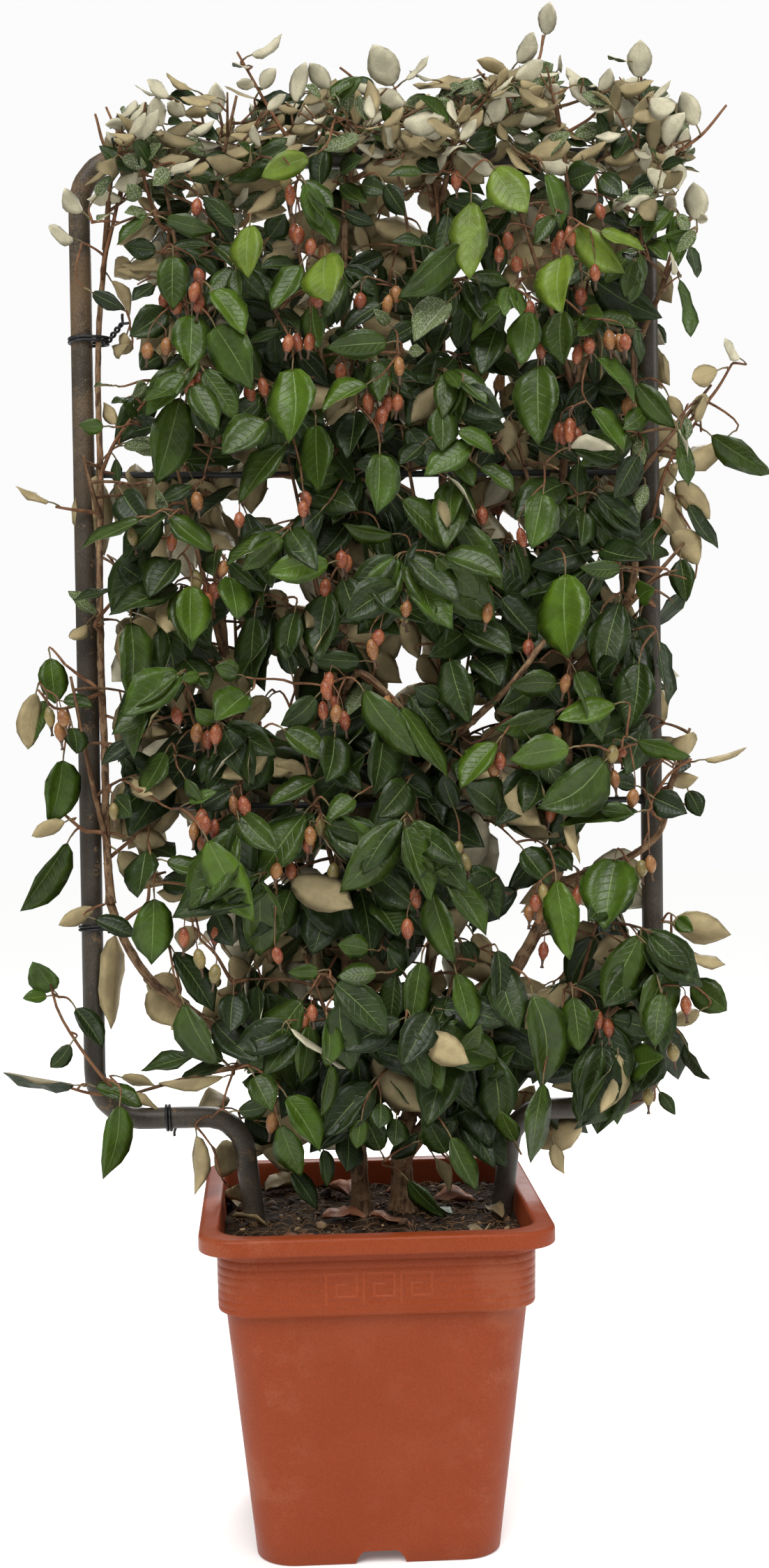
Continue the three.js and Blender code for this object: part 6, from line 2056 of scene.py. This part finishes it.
class SILVERBERRY_OT_fruit(bpy.types.Operator):
    """Hang the speckled fruit with their withered flower tubes"""
    bl_idname = "silverberry.fruit"
    bl_label = "Fruit"

    def execute(self, context):
        ripe = np.array(context.scene.silverberry.fruit_colour)
        fruits = columns(planned_crown().fruits)
        surface = Surface()
        add_fruits(surface, fruits, fruits["tone"])
        scale = rgb(200, 156, 112)
        piece = surface.piece("fruit", [
            fruit_finish("fruit_ripe", linear(ripe), linear(ripe * (0.82, 0.66, 0.68)), scale),
            fruit_finish("fruit_turning", linear(ripe * (1.0, 1.25, 1.15)),
                         linear(ripe * (0.8, 0.9, 0.8)), scale),
            fruit_finish("fruit_unripe", rgb(136, 118, 66), rgb(108, 98, 56), rgb(168, 156, 116)),
            plain_finish("withered_tube", rgb(96, 74, 56), 0.8),
        ])
        settle(piece, "leaf", *FOLIAGE)
        return {"FINISHED"}


FLOOR_SIDES = 64
FLOOR_RADII = (600, 9000)
SUN_SPREAD, SUN_STRENGTH = math.radians(40), 2.3


class SILVERBERRY_OT_stage(bpy.types.Operator):
    """Set the pale floor, the soft lights and the camera"""
    bl_idname = "silverberry.stage"
    bl_label = "Stage"

    def execute(self, context):
        scene = context.scene
        self.add_floor()
        self.add_world(scene)
        self.add_light(scene, "key", (-1.1, -2.4, 3.9), 0.8)
        self.add_light(scene, "soft_box", (0.5, -1.9, 3.2), 0.9, 1.5, 26)
        self.add_light(scene, "back_fill", (0.6, 2.8, 2.6), 0.9, 2.0, 100)
        self.add_light(scene, "side_fill", (3.0, -0.4, 2.0), 0.9, 1.5, 24)
        self.add_camera(scene)
        scene.view_settings.view_transform = "Standard"
        return {"FINISHED"}

    def add_floor(self):
        """A wide flat disc: two rings of points round a middle."""
        k = np.arange(FLOOR_SIDES)
        turn = k / FLOOR_SIDES * TURN
        rings = [np.stack([r * np.cos(turn), r * np.sin(turn), 0 * turn], -1) for r in FLOOR_RADII]
        surface = Surface()
        start = surface.add_points(np.concatenate(rings + [np.zeros((1, 3))]))
        surface.add_faces(grid_faces(2, FLOOR_SIDES)[0][:, ::-1] + start)
        fan = np.stack([k, (k + 1) % FLOOR_SIDES, np.full(FLOOR_SIDES, 2 * FLOOR_SIDES)], -1)
        surface.add_faces(fan + start)
        paper = Finish("floor_paper", Base_Color=rgb(246, 246, 245), Roughness=0.95,
                       Specular_IOR_Level=0.1, Emission_Color=(1, 1, 1, 1), Emission_Strength=0.1)
        floor = surface.piece("floor", [paper.material])

    def add_world(self, scene):
        """White where the camera looks past everything, softer light and dimmer reflections on
        the object."""
        world = bpy.data.worlds.new("studio")
        world.use_nodes = True
        wiring = Wiring(world.node_tree)
        sky = world.node_tree.nodes["Background"].inputs
        sight = wiring.node("LightPath")
        seen = wiring.times_plus(sight["Is Camera Ray"], 0.57, 0.4)
        strength = wiring.times_plus(sight["Is Glossy Ray"], -0.2, seen)
        wiring.tree.links.new(strength, sky["Strength"])
        sky["Color"].default_value = (1, 1, 1, 1)
        scene.world = world

    def add_light(self, scene, name, place, aim, size=None, power=None):
        """A round soft box aimed at a height on the axis, or without a size a far soft light that
        falls evenly everywhere."""
        data = bpy.data.lights.new(name, "AREA" if size else "SUN")
        if size:
            data.shape, data.size, data.energy = "DISK", size, power
        else:
            data.angle, data.energy = SUN_SPREAD, SUN_STRENGTH
        light = bpy.data.objects.new(name, data)
        back = unit(np.array(place) - (0, 0, aim))
        side = unit(np.cross((0, 0, 1), back))
        axes = np.stack([side, np.cross(back, side), back, place], -1)
        light.matrix_world = Matrix((*axes, (0, 0, 0, 1)))
        scene.collection.objects.link(light)

    def add_camera(self, scene):
        data = bpy.data.cameras.new("eye")
        data.sensor_fit = "VERTICAL"
        data.sensor_height = SENSOR_HEIGHT
        data.lens = LENS
        data.clip_end = 100
        camera = bpy.data.objects.new("eye", data)
        turns = ((-EYE_YAW, "Z"), (math.pi / 2 - EYE_PITCH, "X"), (EYE_ROLL, "Z"))
        yaw, pitch, roll = (Matrix.Rotation(angle, 4, axis) for angle, axis in turns)
        place = Matrix.Translation([value * MM for value in EYE])
        camera.matrix_world = place @ (yaw @ pitch @ roll)
        scene.collection.objects.link(camera)
        scene.camera = camera


OPERATORS = (
    SILVERBERRY_OT_stage, SILVERBERRY_OT_pot, SILVERBERRY_OT_soil, SILVERBERRY_OT_litter,
    SILVERBERRY_OT_frame_tube, SILVERBERRY_OT_frame_rods, SILVERBERRY_OT_ties,
    SILVERBERRY_OT_limbs, SILVERBERRY_OT_twigs, SILVERBERRY_OT_leaves, SILVERBERRY_OT_fruit,
)


class SILVERBERRY_PT_panel(bpy.types.Panel):
    """Sizes, colours and building steps of the potted espalier"""
    bl_idname = "SILVERBERRY_PT_panel"
    bl_label = "Espaliered Silverberry"
    bl_space_type = "VIEW_3D"
    bl_region_type = "UI"
    bl_category = "Silverberry"

    def draw(self, context):
        column = self.layout.column()
        for name in Plan.__annotations__:
            column.prop(context.scene.silverberry, name)
        for operator in OPERATORS:
            column.operator(operator.bl_idname)


CLASSES = (Plan,) + OPERATORS + (SILVERBERRY_PT_panel,)


def register():
    for kind in CLASSES:
        bpy.utils.register_class(kind)
    bpy.types.Scene.silverberry = PointerProperty(type=Plan)


def unregister():
    del bpy.types.Scene.silverberry
    for kind in reversed(CLASSES):
        bpy.utils.unregister_class(kind)


def main():
    register()
    for operator in OPERATORS:
        getattr(bpy.ops.silverberry, operator.bl_idname.split(".")[1])()


if __name__ == "__main__":
    main()
